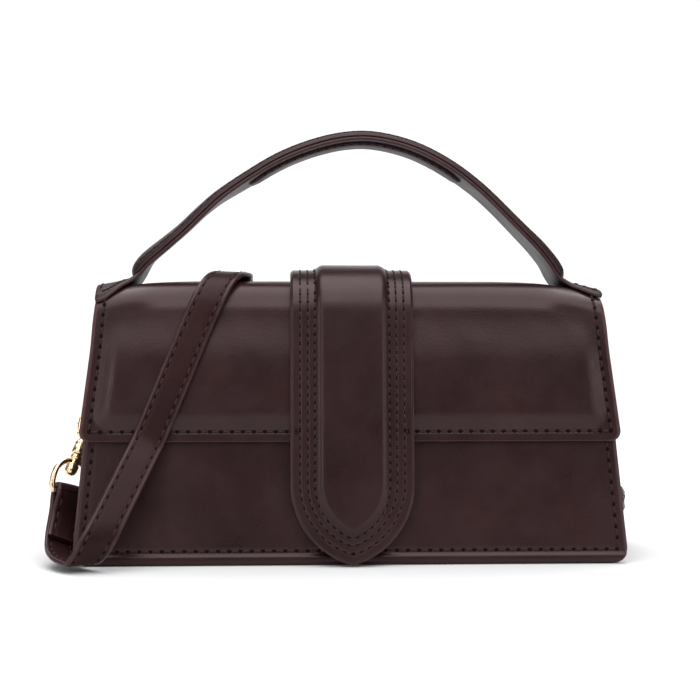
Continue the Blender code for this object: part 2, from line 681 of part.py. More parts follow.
# ---------------------------------------------------------------- rings, hooks
def side_hardware(side, word):
    """Leather ring tab, D-ring, snap hook, its gate and the swivel loop on one end."""
    bar_z = 73.5
    gx = half_width(bar_z) - 7.0
    back_x = gx + GAP + 0.75
    bar = np.array([side * (back_x + 0.65 + 0.3 + RING_WIRE / 2 + 0.15), 0.0, bar_z])
    r = abs(bar[0]) - back_x
    # ring tab: down the gusset, round the bar and up again
    def wall(z):
        return half_width(z) - 7.0 + GAP + 0.75
    path = [(side * wall(z), 0.0, z) for z in (99.0, 92.0, 85.0, 79.0)]
    for k in range(9):
        a = math.pi * k / 8
        path.append((bar[0] - side * r * math.cos(a), 0.0, bar_z - r * math.sin(a)))
    path += [(side * (wall(z) + 1.3 + GAP + e), 0.0, z) for z, e in ((79.5, 2.2), (83.5, 0.5), (88.0, 0.1), (92.0, 0.1), (97.0, 0.1))]
    v, f = ribbon(path, [(0, 1, 0)] * len(path), 13.0, 1.3)
    make(word + "_ring_tab", v, f, LEATHER, 0.42)
    # D-ring in a plane that leans outwards
    out = unit((side * 5.6, 0, -13.0))
    pts = []
    for y in (-8.5, -4.2, 0.0, 4.2, 8.5):
        pts.append(bar + np.array([0, y, 0]))
    for k in range(1, 14):
        a = math.pi * k / 14
        pts.append(bar + np.array([0, 8.5 * math.cos(a), 0]) + out * (3.2 + 9.8 * math.sin(a)))
    v, f = tube(pts, RING_WIRE / 2, 9, closed=True)
    make(word + "_d_ring", v, f, GOLD, 0.25, 1.0, origin=tuple(bar))
    low = bar + out * 13.0
    # the hook's own axes: a along it, l outwards, n through the claw
    knob = low + (np.array([-7.2, -12.2, -20.2]) if side < 0 else np.array([6.4, 5.0, -22.0]))
    a = unit(low - knob)
    n = unit(np.array([0, 1, 0]) - a[1] * a)
    l = np.cross(a, n)
    if l[0] * side < 0:
        l = -l

    def at(u, w, t=0.0):
        return low + l * u + a * w + n * t
    # claw: open towards the outside between nose and pivot
    top = RING_WIRE / 2 + GAP + HOOK_WIRE / 2 + 0.6
    hw, cz, hh = 4.5, top - 7.4, 7.4
    pts, rad = [], []
    for k in range(19):
        ang = math.radians(NOSE + (306 - NOSE) / 18 * k)
        pts.append(at(hw * math.cos(ang), cz + hh * math.sin(ang)))
        rad.append(HOOK_WIRE / 2 * (0.8 if k == 0 else 1.0))
    v1, f1 = tube(pts, rad, 8, up=tuple(n))
    hook_body = make(word + "_hook", v1, f1, GOLD, 0.25, 1.0, origin=tuple(knob))
    # barrel below the claw
    rows = [(2.0, cz - hh - 0.8), (2.8, cz - hh - 2.4), (3.1, cz - hh - 3.4), (3.1, cz - hh - 8.0), (2.6, cz - hh - 8.6)]
    rows = [(1.7, cz - hh + 0.6)] + rows
    loops = [[at(rr * math.cos(2 * math.pi * k / 14), w, rr * math.sin(2 * math.pi * k / 14)) for k in range(14)] for rr, w in rows]
    v2, f2 = loft(loops)
    barrel = make(word + "_barrel_tmp", v2, f2, GOLD, 0.25, 1.0, origin=tuple(knob))
    mod = hook_body.modifiers.new("join", "BOOLEAN")
    mod.operation = "UNION"
    mod.solver = "EXACT"
    mod.object = barrel
    dg = bpy.context.evaluated_depsgraph_get()
    dg.update()
    joined = bpy.data.meshes.new_from_object(hook_body.evaluated_get(dg))
    hook_body.modifiers.clear()
    hook_body.data = joined
    bpy.data.objects.remove(barrel, do_unlink=True)
    # gate: from its pivot by the lower end to the nose
    g0 = at(hw * math.cos(math.radians(-38)) + 0.5, cz + hh * math.sin(math.radians(-38)) + 1.3)
    g1 = at(hw * math.cos(math.radians(NOSE)) + 0.9, cz + hh * math.sin(math.radians(NOSE)) - 2.1)
    v, f = tube([g0, g0 * 0.66 + g1 * 0.34 + l * 0.25, g0 * 0.33 + g1 * 0.67 + l * 0.25, g1], [0.95, 0.95, 0.95, 0.95], 8, up=tuple(n))
    make(word + "_gate", v, f, GOLD, 0.28, 1.0, origin=tuple(g0))
    # swivel loop: a knob in line with the hook, then a D for the strap
    end = at(0, cz - hh - 8.6 - GAP)
    if side < 0:
        across = unit((0.785, 0.556, -0.27))
        down = unit((-0.29, -0.385, -0.88))
    else:
        across = unit((0.30, 0.95, 0.0))
        down = unit((0.16, 0.12, -0.98))
    down = unit(down - across * (down @ across))
    kb = end - a * 3.2
    half = [(0.0, 0.0), (3.2, 0.2), (6.0, 1.7), (7.9, 4.4), (8.7, 7.6), (8.8, 11.0), (8.4, 13.0), (7.4, 14.0), (3.7, 14.0)]
    pts = [kb + across * u + down * w for u, w in half]
    pts.append(kb + down * 14.0)
    pts += [kb - across * u + down * w for u, w in half[:0:-1]]
    v1, f1 = tube(pts, HOOK_WIRE / 2, 8, closed=True, up=tuple(unit(np.cross(across, down))))
    loop = make(word + "_swivel_loop", v1, f1, GOLD, 0.25, 1.0, origin=tuple(bar))
    rows = [(1.8, 0.0), (2.5, -0.4), (2.6, -1.6), (2.0, -2.3), (2.0, -4.4), (2.7, -5.0), (2.8, -7.4), (2.2, -9.2), (1.2, -9.8)]
    loops = [[end + a * w + l * rr * math.cos(2 * math.pi * k / 14) + n * rr * math.sin(2 * math.pi * k / 14) for k in range(14)] for rr, w in rows]
    v2, f2 = loft(loops)
    knob_o = make(word + "_knob_tmp", v2, f2, GOLD, 0.25, 1.0, origin=tuple(bar))
    mod = loop.modifiers.new("join", "BOOLEAN")
    mod.operation = "UNION"
    mod.solver = "EXACT"
    mod.object = knob_o
    dg = bpy.context.evaluated_depsgraph_get()
    dg.update()
    joined = bpy.data.meshes.new_from_object(loop.evaluated_get(dg))
    loop.modifiers.clear()
    loop.data = joined
    bpy.data.objects.remove(knob_o, do_unlink=True)
    centre = kb + down * 14.0
    return centre, across, down, bar, low, a, l, n, g0


LEFT = side_hardware(-1, "left")
RIGHT = side_hardware(1, "right")


# ---------------------------------------------------------------- shoulder strap
def loop_end(centre, across, away, outward):
    """Points of the strap's end round a loop bar: from the tail's tip up one side,
    over the bar, to where the strap leaves on the other side."""
    r = HOOK_WIRE / 2 + GAP + STRAP_T / 2
    away = unit(away - across * (away @ across))
    n = unit(np.cross(across, away))
    if n @ np.array(outward, float) < 0:
        n = -n
    pts = []
    for d in (20.0, 15.0, 10.0, 5.5):
        pts.append(centre + away * d + n * (r if d < 7 else (r * 0.72 if d < 12 else STRAP_T / 2 + 0.25)))
    for k in range(9):
        a = math.pi * k / 8
        pts.append(centre + n * (r * math.cos(a)) - away * (r * math.sin(a)))
    for d in (5.5, 10.0):
        pts.append(centre + away * d - n * (r if d < 7 else r * 0.72))
    return pts


def turned(start, end, share):
    """Frame (columns along, across, face) part of the way from one to another."""
    r = end @ start.T
    ang = math.acos(max(-1.0, min(1.0, (np.trace(r) - 1) / 2))) * share
    ax = unit((r[2, 1] - r[1, 2], r[0, 2] - r[2, 0], r[1, 0] - r[0, 1]))
    k = np.array([[0, -ax[2], ax[1]], [ax[2], 0, -ax[0]], [-ax[1], ax[0], 0]])
    return (np.eye(3) + math.sin(ang) * k + (1 - math.cos(ang)) * k @ k) @ start


def strap_frame(along, across):
    t = unit(along)
    w = unit(np.array(across, float) - t * (np.array(across, float) @ t))
    return np.stack([t, w, np.cross(t, w)], 1)


def keyed_frame(azimuth, elevation, roll):
    """Frame from the direction's azimuth (from +X towards -Y) and elevation, with its
    width rolled about it from level; degrees."""
    az, el, ro = (math.radians(v) for v in (azimuth, elevation, roll))
    t = np.array([math.cos(el) * math.cos(az), -math.cos(el) * math.sin(az), math.sin(el)])
    w = unit(np.cross((0, 0, 1.0), t))
    n = np.cross(t, w)
    w = math.cos(ro) * w + math.sin(ro) * n
    return np.stack([t, w, np.cross(t, w)], 1)


def floor_turn(lc, la, top):
    """The strap's run from the left loop down past the bag's corner, round its turn on
    the floor and on to the straight rise to the point top: the lengths of the run down,
    of the turn and of the rise are those for which the three meet."""
    t1 = np.array([-0.643, -0.651, -0.9])
    t1 = unit(t1 - la * (t1 @ la))
    f1 = np.stack([t1, la, np.cross(t1, la)], 1)
    rise = np.array([0.460, 0.532, 1.0])
    f2 = strap_frame(rise, (0.918, -0.040, -0.395))
    c, s = math.cos(math.radians(-4.4)), math.sin(math.radians(-4.4))
    f2 = strap_frame(rise, c * f2[:, 1] + s * np.cross(f2[:, 0], f2[:, 1]))
    keys = [f1, keyed_frame(71.4, -5.3, -19.3), keyed_frame(49.0, 2.2, 0.9), f2]
    shares = [0.0, 0.451, 0.715, 1.0]
    n = 60
    frames = []
    for i in range(n + 1):
        u = i / n
        k = 0 if u < shares[1] else (1 if u < shares[2] else 2)
        frames.append(turned(keys[k], keys[k + 1], (u - shares[k]) / (shares[k + 1] - shares[k])))
    steps = [(frames[i][:, 0] + frames[i + 1][:, 0]) / 2 for i in range(n)]
    p0 = lc - f1[:, 2] * (STRAP_T / 2 + GAP / 2)
    down, turn, up = np.linalg.solve(np.stack([t1, np.mean(steps, 0), rise], 1), top - p0)
    p = p0 + down * t1
    pts = [p]
    for q in steps:
        p = p + q * turn / n
        pts.append(p)
    pts = np.array(pts)
    u = np.linspace(0, 1, n + 1)
    push = np.sin(math.pi * np.clip(u / 0.85, 0, 1)) ** 2
    pts[:, 0] -= CORNER_PUSH * push
    pts[:, 1] -= 0.6 * CORNER_PUSH * push
    return p0, down, turn, pts, frames


def strap_parts():
    lc, la, ld = LEFT[0], LEFT[1], LEFT[2]
    rc, ra, rd = RIGHT[0], RIGHT[1], RIGHT[2]
    W = lambda *v: unit(v)

    def x_at(z):
        return -86.4 + (z - 54.9) * (0.407 if z > 54.9 else 0.460)
    # left end and the turn on the floor
    d = GAP + STRAP_T / 2
    top = np.array([x_at(53.0), -FLAP_FRONT_Y0 + LEAN * 53.0 - d - 0.15, 53.0])
    p0, down, turn, pts, frames = floor_turn(lc, la, top)
    face = frames[0][:, 2]
    along = frames[0][:, 0]

    def main(at):
        """Point and frame of the strap's main layer at a distance from the bar."""
        if at <= down:
            spread = (HOOK_WIRE / 2 + GAP + STRAP_T / 2 - STRAP_T / 2 - GAP / 2) * (1 - float(smooth((at - 1.0) / 9.0)))
            return p0 + along * at - face * spread, frames[0], spread
        u = min((at - down) / turn, 1.0) * (len(pts) - 1)
        i = min(int(u), len(pts) - 2)
        q = pts[i] + (pts[i + 1] - pts[i]) * (u - i)
        return q, frames[min(int(round(u)), len(pts) - 1)], 0.0
    left, la_ = [], []
    for at in (25.0, 21.5, 18.0, 14.5, 11.0, 7.5, 4.5, 2.0):
        q, f, spread = main(at)
        left.append(q + f[:, 2] * (STRAP_T + GAP + 2 * spread))
        la_.append(f[:, 1])
    r = HOOK_WIRE / 2 + GAP + STRAP_T / 2
    for k in range(9):
        a = math.pi * k / 8
        left.append(lc + face * (r * math.cos(a)) - along * (r * math.sin(a)))
        la_.append(la)
    end_at = down + turn - 3 * GAP
    for at in np.linspace(3.5, end_at, 20):
        q, f, spread = main(at)
        left.append(q)
        la_.append(f[:, 1])
    left, la_ = np.array(left), np.array(la_)
    left = on_floor(left, la_, STRAP_W, STRAP_T)
    v, f = ribbon(left, la_, STRAP_W, STRAP_T)
    make("strap_left", v, f, LEATHER, 0.45)
    # front run and over the top, a little clear of the flap
    front = []
    wf = W(0.918, -0.040, -0.395)
    low_w = frames[-1][:, 1]
    for u in (0.0, 0.25, 0.5, 0.75):
        front.append((tuple(pts[-1] + (top - pts[-1]) * u), unit(low_w * (1 - u) + wf * u)))
    for z, out in ((53.0, 0.15), (62.0, 0.0), (75.0, 0.0), (90.0, 0.0), (106.0, 0.0)):
        front.append(((x_at(z), -FLAP_FRONT_Y0 + LEAN * z - d - out, z), wf))
    x0 = x_at(109.0)
    cf, cb = np.array(FRONT_ROLL_C), np.array(BACK_ROLL_C)
    run = 0.0
    arc = []
    for i in range(1, 8):
        a = math.radians(174 - (174 - 90) * i / 7)
        lift = 1.6 * float(smooth(i / 7))
        arc.append(cf + (FRONT_ROLL_R + d + lift) * np.array([math.cos(a), math.sin(a)]))
    for y in (-6.0, 1.0, 8.0):
        arc.append(np.array([y, TOP_Z + d + 1.6]))
    for i in range(0, 7):
        a = math.radians(90 - 84 * i / 6)
        lift = 1.6 * (1 - float(smooth(i / 6)))
        arc.append(cb + (BACK_ROLL_R + d + lift) * np.array([math.cos(a), math.sin(a)]))
    prev = np.array([-FLAP_FRONT_Y0 + LEAN * 106.0 - d, 106.0])
    x = x_at(106.0)
    over = []
    for q in arc:
        step = np.linalg.norm(q - prev)
        slant = SLANT - 0.46 * float(smooth((q[0] + 16.0) / 24.0))
        x += step * slant
        tan = unit(np.array([slant * step, q[0] - prev[0], q[1] - prev[1]]))
        nrm = unit(np.cross((1, 0, 0), tan))
        over.append(((x, q[0], q[1]), unit(np.cross(tan, nrm)) * -1))
        prev = q
    over = [(p, w if w[0] > 0 else -w) for p, w in over]
    # the seam is at the last of these points: the front piece stops just before it
    mid = front + over[:-1]
    fp, fa = curve([p for p, w in mid], 3.6, [w for p, w in mid])
    v, f = ribbon(fp, fa, STRAP_W, STRAP_T)
    make("strap_front", v, f, LEATHER, 0.45, origin=HINGE)
    # down the back, onto the floor and in flat turns behind the bag, up to the right hook
    lastp, lastw = over[-1]
    print("strap at the seam", [round(float(c), 1) for c in lastp])
    gap_p = np.array(over[-1][0]) + unit(np.array(over[-1][0]) - np.array(over[-2][0])) * GAP
    rear = [(tuple(gap_p), lastw)]
    bx = lastp[0] - 0.5
    for z, out, shift, w in ((103.0, 0.4, 0.2, W(0.95, -0.02, 0.26)), (92.0, 0.9, 0.6, W(1.0, 0.0, 0.06)), (78.0, 1.8, 1.6, W(1.0, 0.05, 0.0)), (60.0, 4.5, 3.6, W(0.98, 0.15, 0.04)), (43.0, 8.5, 6.6, W(0.80, 0.55, 0.2))):
        rear.append(((bx + shift, PANEL_Y0 - LEAN * z + d + out, z), w))
    rear += [
        ((bx + 14.6, 47.5, 26.0), W(0.45, 0.87, 0.20)),
        ((bx + 27.6, 49.5, 10.5), W(0.12, 0.98, 0.10)),
        ((bx + 44.6, 50.0, 2.6), W(0.0, 1.0, 0.0)),
        ((24.0, 50.0, 1.6), W(0.0, 1.0, 0.0)),
        ((56.0, 50.0, 1.6), W(0.0, 1.0, 0.0)),
        ((88.0, 50.0, 1.6), W(0.0, 1.0, 0.0)),
        ((99.0, 50.0, 4.0), W(0.0, 1.0, 0.0)),
        ((103.0, 50.4, 9.6), W(0.0, 1.0, 0.0)),
        ((97.0, 50.8, 14.6), W(0.0, 1.0, 0.0)),
        ((80.0, 51.0, 14.0), W(0.0, 1.0, 0.0)),
        ((55.0, 54.0, 11.2), W(0.02, 1.0, 0.0)),
        ((30.0, 61.0, 8.4), W(0.10, 1.0, 0.0)),
        ((0.0, 66.0, 4.6), W(0.06, 1.0, 0.0)),
        ((-40.0, 64.0, 2.0), W(-0.05, 1.0, 0.0)),
        ((-72.0, 59.0, 1.6), W(-0.1, 1.0, 0.0)),
        ((-94.0, 55.0, 2.6), W(-0.1, 1.0, 0.0)),
        ((-103.0, 53.6, 8.6), W(-0.1, 1.0, 0.0)),
        ((-95.0, 53.2, 15.0), W(-0.06, 1.0, 0.0)),
        ((-70.0, 53.0, 15.0), W(0.0, 1.0, 0.0)),
        ((-35.0, 52.6, 12.8), W(0.0, 1.0, 0.0)),
        ((0.0, 53.0, 18.5), W(0.0, 1.0, 0.0)),
        ((30.0, 60.0, 23.5), W(0.05, 1.0, 0.0)),
        ((62.0, 64.0, 24.5), W(0.0, 1.0, 0.0)),
        ((92.0, 62.0, 24.0), W(-0.1, 1.0, 0.0)),
        ((112.0, 54.0, 17.0), W(-0.1, 1.0, 0.1)),
        ((122.0, 43.0, 9.5), W(0.10, 0.9, 0.35)),
        ((126.8, 30.0, 8.5), W(0.30, 0.60, 0.70)),
        ((127.4, 20.0, 13.0), W(0.30, 0.80, 0.50)),
    ]
    end = loop_end(rc, ra, (0.12, 0.35, -0.93), (0.6, -0.5, 0))
    end = end[::-1]
    rear += [(tuple(p), ra) for p in end[:2]]
    rp, rw = curve([p for p, w in rear], 5.0, [w for p, w in rear])
    rp = np.concatenate([rp, np.array(end[2:])])
    rw = np.concatenate([rw, np.array([ra] * len(end[2:]))])
    rp = on_floor(rp, rw, STRAP_W, STRAP_T)
    v, f = ribbon(rp, rw, STRAP_W, STRAP_T)
    make("strap_rear", v, f, LEATHER, 0.45)
    total = 0.0
    for q in (left, fp, rp):
        total += line_length(q)[-1]
    print("strap length mm", round(total, 1))


strap_parts()

lo, hi = np.full(3, 1e9), np.full(3, -1e9)
count = 0
for o in bpy.data.objects:
    if o.type != "MESH":
        continue
    co = np.array([o.matrix_world @ v.co for v in o.data.vertices])
    if not len(co):
        continue
    co = np.array([v.co for v in o.data.vertices]) + np.array(o.location)
    tris = sum(len(p.vertices) - 2 for p in o.data.polygons)
    count += tris
    if not (o.name.startswith("strap_") or "hook" in o.name or "gate" in o.name or "swivel" in o.name):
        lo, hi = np.minimum(lo, co.min(0)), np.maximum(hi, co.max(0))
    print(o.name, tris, np.round(co.min(0) * 1000, 1), np.round(co.max(0) * 1000, 1))
print("bag box mm", np.round(lo * 1000, 2), np.round(hi * 1000, 2), "triangles", count)
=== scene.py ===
"""Looks of the structured flap shoulder bag: padded leather flap, sewn tab, arched handle,
strap and light-gold hardware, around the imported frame.
Sizes are in millimetres (x width, +y back, +z up) until a mesh is made."""

import json
import math

import bmesh
import bpy
import numpy as np
from mathutils import Matrix, Vector


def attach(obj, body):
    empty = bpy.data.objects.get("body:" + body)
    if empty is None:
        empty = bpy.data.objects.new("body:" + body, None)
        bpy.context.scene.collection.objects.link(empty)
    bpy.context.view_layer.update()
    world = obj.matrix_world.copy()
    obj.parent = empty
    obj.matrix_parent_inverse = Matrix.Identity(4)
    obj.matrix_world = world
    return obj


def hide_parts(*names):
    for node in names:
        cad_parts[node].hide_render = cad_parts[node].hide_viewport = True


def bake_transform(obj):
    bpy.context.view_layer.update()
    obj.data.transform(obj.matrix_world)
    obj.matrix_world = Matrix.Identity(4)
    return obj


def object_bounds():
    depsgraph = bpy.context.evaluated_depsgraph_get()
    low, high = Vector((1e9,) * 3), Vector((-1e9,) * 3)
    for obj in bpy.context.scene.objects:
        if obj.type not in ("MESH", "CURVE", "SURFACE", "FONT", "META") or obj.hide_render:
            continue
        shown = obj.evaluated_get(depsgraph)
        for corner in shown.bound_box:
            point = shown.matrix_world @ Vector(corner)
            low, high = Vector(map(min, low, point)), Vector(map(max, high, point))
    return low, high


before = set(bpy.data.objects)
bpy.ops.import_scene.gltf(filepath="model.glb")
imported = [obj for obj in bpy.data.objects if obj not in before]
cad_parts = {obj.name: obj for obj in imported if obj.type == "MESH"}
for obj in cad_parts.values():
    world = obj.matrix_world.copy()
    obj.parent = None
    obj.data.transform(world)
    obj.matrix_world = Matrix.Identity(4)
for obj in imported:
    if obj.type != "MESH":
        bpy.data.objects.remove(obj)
CAD_LO, CAD_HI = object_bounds()

# ---------------------------------------------------------------- sizes (mm), as in the frame
Y_SHIFT = 3.795
GAP = 0.3
LEAN = 0.104
TAPER = 0.085
BASE_HALF = 119.8
PANEL_Y0 = 35.86
PANEL_T = 2.4
PANEL_CORNER = 7.0
SEAM_Z = 111.5
FLAP_LOW_Z = 53.0
FLAP_T = 2.3
FLAP_LINING_T = 0.8
FLAP_FRONT_Y0 = 39.76
FRONT_ROLL_R = 15.0
FRONT_ROLL_C = (-13.5, 107.5)
BACK_ROLL_R = 12.0
BACK_ROLL_C = (12.30, 110.5)
TOP_Z = 122.5
TAB_HALF = 26.3
TAB_T = 1.7
TAB_LINING_T = 0.8
TAB_RAISE = 2.3
TAB_MARGIN = 11.4
TAB_TIP_Z = 0.6
TAB_OGIVE = 34.0
TAB_ARCH = 2.1
STRIP_T = 1.8
COVER_H = 3.7
GRIP_T = 1.5
GRIP_HALF = 7.0
STRAP_W = 14.0
STRAP_T = 2.4
CORNER_PUSH = 1.2
SLANT = 0.44
RING_WIRE = 2.8
HOOK_WIRE = 2.6
NOSE = 25.0
ANG = math.atan(LEAN)

STRIP_PATH = [
    (-110.7, 118.7), (-106.0, 119.75), (-101.0, 121.0), (-96.5, 122.3), (-92.5, 125.2),
    (-88.8, 129.3), (-80.5, 136.5), (-72.1, 144.0), (-64.2, 151.8), (-56.3, 159.1),
    (-45.6, 166.9), (-30.4, 176.0), (-15.1, 182.1), (-0.5, 185.3), (12.5, 185.2),
    (28.2, 181.2), (43.5, 173.5), (56.5, 163.6), (69.9, 150.4), (77.5, 142.6),
    (83.6, 136.2), (88.9, 129.6), (92.6, 124.2), (97.0, 121.2), (102.0, 119.0),
    (106.5, 117.2), (110.7, 115.4),
]


# ---------------------------------------------------------------- helpers
def unit(v):
    v = np.array(v, float)
    return v / max(np.linalg.norm(v), 1e-12)


def smooth(t):
    t = np.clip(t, 0.0, 1.0)
    return t * t * (3 - 2 * t)


def metres(p):
    return (np.array(p, float) + np.array([0.0, Y_SHIFT, 0.0])) * 0.001


def lengths(p):
    return np.concatenate([[0], np.cumsum(np.linalg.norm(np.diff(p, axis=0), axis=1))])


def curve(points, step, extra=None):
    """Smooth line through points, resampled at about step; extra columns follow along."""
    p = np.array(points, float)
    e = None if extra is None else np.array(extra, float)
    q = np.concatenate([[2 * p[0] - p[1]], p, [2 * p[-1] - p[-2]]])
    out, oute = [], []
    for i in range(1, len(q) - 2):
        a, b, c, d = q[i - 1], q[i], q[i + 1], q[i + 2]
        k = max(2, int(round(np.linalg.norm(c - b) / (step / 6))))
        for s in np.arange(k) / k:
            out.append(0.5 * ((2 * b) + (c - a) * s + (2 * a - 5 * b + 4 * c - d) * s * s + (3 * b - a - 3 * c + d) * s ** 3))
            if e is not None:
                u = smooth(s)
                oute.append(e[i - 1] * (1 - u) + e[i] * u)
    out.append(p[-1])
    out = np.array(out)
    if e is not None:
        oute.append(e[-1])
        oute = np.array(oute)
    d = lengths(out)
    n = max(2, int(round(d[-1] / step)) + 1)
    at = np.linspace(0, d[-1], n)
    res = np.stack([np.interp(at, d, out[:, k]) for k in range(out.shape[1])], 1)
    if e is None:
        return res
    return res, np.stack([np.interp(at, d, oute[:, k]) for k in range(e.shape[1])], 1)


def even(p, step, extra=()):
    """A line again with points step apart, and any extra columns along it."""
    d = lengths(p)
    n = max(2, int(round(d[-1] / step)) + 1)
    at = np.linspace(0, d[-1], n)
    res = [np.stack([np.interp(at, d, q[:, k]) for k in range(q.shape[1])], 1) for q in (p, *extra)]
    return res if extra else res[0]


def object_from(name, verts, faces, mats, slots=None, body=None, merge=0.004, sharp=None):
    """A smooth-shaded mesh from points in mm, with outward faces."""
    mesh = bpy.data.meshes.new(name)
    mesh.from_pydata([tuple(p) for p in metres(verts)], [], [tuple(int(i) for i in f) for f in faces])
    for m in mats:
        mesh.materials.append(m)
    if slots is not None:
        mesh.polygons.foreach_set("material_index", np.array(slots, np.int32))
    bm = bmesh.new()
    bm.from_mesh(mesh)
    bmesh.ops.remove_doubles(bm, verts=bm.verts, dist=merge * 0.001)
    bmesh.ops.dissolve_degenerate(bm, edges=bm.edges, dist=merge * 0.0005)
    if bm.calc_volume(signed=True) < 0:
        bmesh.ops.reverse_faces(bm, faces=bm.faces)
    if sharp:
        cos_limit = math.cos(math.radians(sharp))
        for e in bm.edges:
            if len(e.link_faces) == 2 and e.link_faces[0].normal.dot(e.link_faces[1].normal) < cos_limit:
                e.smooth = False
    bm.to_mesh(mesh)
    bm.free()
    mesh.polygons.foreach_set("use_smooth", np.ones(len(mesh.polygons), bool))
    obj = bpy.data.objects.new(name, mesh)
    bpy.context.scene.collection.objects.link(obj)
    if body:
        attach(obj, body)
    return obj


def shell(outer, inner, bulge=0.3, rings=4, band=0):
    """Closed body between two grids with a rounded, painted rim. Slots: 0 face, 1 rim,
    2 back. band columns and rows next to the border of the face count as rim."""
    n, m = outer.shape[:2]
    k = n * m
    verts = [outer.reshape(-1, 3), inner.reshape(-1, 3)]
    faces, slots = [], []
    for i in range(n - 1):
        for j in range(m - 1):
            a, b, c, d = i * m + j, (i + 1) * m + j, (i + 1) * m + j + 1, i * m + j + 1
            faces.append((a, b, c, d))
            near = min(i, j, n - 2 - i, m - 2 - j)
            slots.append(1 if near < band else 0)
            faces.append((k + a, k + d, k + c, k + b))
            slots.append(2)
    ring = [(0, j) for j in range(m)] + [(i, m - 1) for i in range(1, n)] + [(n - 1, j) for j in range(m - 2, -1, -1)] + [(i, 0) for i in range(n - 2, 0, -1)]
    inside = [(min(max(i, 1), n - 2), min(max(j, 1), m - 2)) for i, j in ring]
    o = np.array([outer[i, j] for i, j in ring])
    q = np.array([inner[i, j] for i, j in ring])
    t = np.roll(o, -1, 0) - np.roll(o, 1, 0)
    nrm = o - q
    nrm = nrm / np.maximum(np.linalg.norm(nrm, axis=1), 1e-9)[:, None]
    d = np.cross(t, nrm)
    d = d / np.maximum(np.linalg.norm(d, axis=1), 1e-9)[:, None]
    away = o - np.array([outer[i, j] for i, j in inside])
    flip = np.sign((d * away).sum(1))
    flip[flip == 0] = 1
    d = d * flip[:, None]
    base = 2 * k
    loops = [[i * m + j for i, j in ring]]
    for r in range(1, rings):
        a = math.pi * r / rings
        mix = (1 - math.cos(a)) / 2
        verts.append(o * (1 - mix) + q * mix + d * (bulge * math.sin(a)))
        loops.append(list(range(base, base + len(ring))))
        base += len(ring)
    loops.append([k + i * m + j for i, j in ring])
    for a, b in zip(loops, loops[1:]):
        for i in range(len(ring)):
            i2 = (i + 1) % len(ring)
            faces.append((a[i], a[i2], b[i2], b[i]))
            slots.append(1)
    return np.concatenate(verts), faces, slots


def loft(loops, closed=False):
    """Closed body through section loops of the same number of points."""
    loops = np.array(loops, float)
    n, m = loops.shape[:2]
    faces = []
    for i in range(n if closed else n - 1):
        i2 = (i + 1) % n
        for j in range(m):
            j2 = (j + 1) % m
            faces.append((i * m + j, i * m + j2, i2 * m + j2, i2 * m + j))
    if not closed:
        faces.append(tuple(range(m - 1, -1, -1)))
        faces.append(tuple((n - 1) * m + j for j in range(m)))
    return loops.reshape(-1, 3), faces


def tube(points, radius, sides=16, closed=False, up=(0, 0, 1)):
    p = np.array(points, float)
    n = len(p)
    t = np.roll(p, -1, 0) - np.roll(p, 1, 0) if closed else np.gradient(p, axis=0)
    t = t / np.linalg.norm(t, axis=1)[:, None]
    ref = unit(np.cross(t[0], up))
    loops = []
    for i in range(n):
        ref = unit(ref - t[i] * (ref @ t[i]))
        other = np.cross(t[i], ref)
        r = radius[i] if hasattr(radius, "__len__") else radius
        loops.append([p[i] + r * (math.cos(2 * math.pi * k / sides) * ref + math.sin(2 * math.pi * k / sides) * other) for k in range(sides)])
    return loft(loops, closed)


def together(parts):
    """Several (verts, faces) as one."""
    verts, faces, at = [], [], 0
    for v, f in parts:
        verts.append(np.array(v, float))
        faces += [tuple(i + at for i in q) for q in f]
        at += len(v)
    return np.concatenate(verts), faces


def bead(a, b, n, radius, sides=6):
    """One stitch: a short rounded thread from a to b that rises a little in its middle."""
    a, b, n = np.array(a, float), np.array(b, float), unit(n)
    t = unit(b - a)
    w = np.cross(t, n)
    loops = []
    for s, r, h in ((0.0, 0.35, -0.9), (0.07, 0.8, -0.25), (0.25, 1.0, 0.25), (0.5, 1.05, 0.42), (0.75, 1.0, 0.25), (0.93, 0.8, -0.25), (1.0, 0.35, -0.9)):
        c = a + (b - a) * s + n * radius * h
        loops.append([c + radius * r * (math.cos(2 * math.pi * k / sides) * w + 0.8 * math.sin(2 * math.pi * k / sides) * n) for k in range(sides)])
    return loft(loops)


def pit(c, t, n, radius, sides=8):
    """A needle hole: a shallow lens just proud of the leather, coloured near black as painted shade for the depth of
    the hole.
    """
    t, n = unit(t), unit(n)
    w = np.cross(t, n)
    loops = []
    for r, h in ((1.0, -0.55), (1.0, 0.02), (0.62, 0.07)):
        loops.append([c + radius * (r * math.cos(2 * math.pi * k / sides) * t * 1.15 + r * math.sin(2 * math.pi * k / sides) * w) + n * h * radius for k in range(sides)])
    return loft(loops)


def stitch_parts(line, normals, pitch, radius=0.42, fill=0.62, lift=0.0):
    """Threads and holes of a sewn row along a line."""
    line, nrm = np.array(line, float), np.array(normals, float)
    d = lengths(line)
    k = max(1, int(round(d[-1] / pitch)))
    real = d[-1] / k

    def at(s):
        p = np.array([np.interp(s, d, line[:, c]) for c in range(3)])
        q = unit([np.interp(s, d, nrm[:, c]) for c in range(3)])
        return p + q * lift, q
    threads, holes = [], []
    for i in range(k):
        s0 = (i + (1 - fill) / 2) * real
        a, na = at(s0)
        b, nb = at(s0 + real * fill)
        mid, nm = at(s0 + real * fill / 2)
        threads.append(bead(a, b, nm, radius))
        h, nh = at((i + 1) * real if i < k - 1 else d[-1] - 0.2)
        holes.append(pit(h, b - a, nh, radius * 2.0))
    return threads, holes


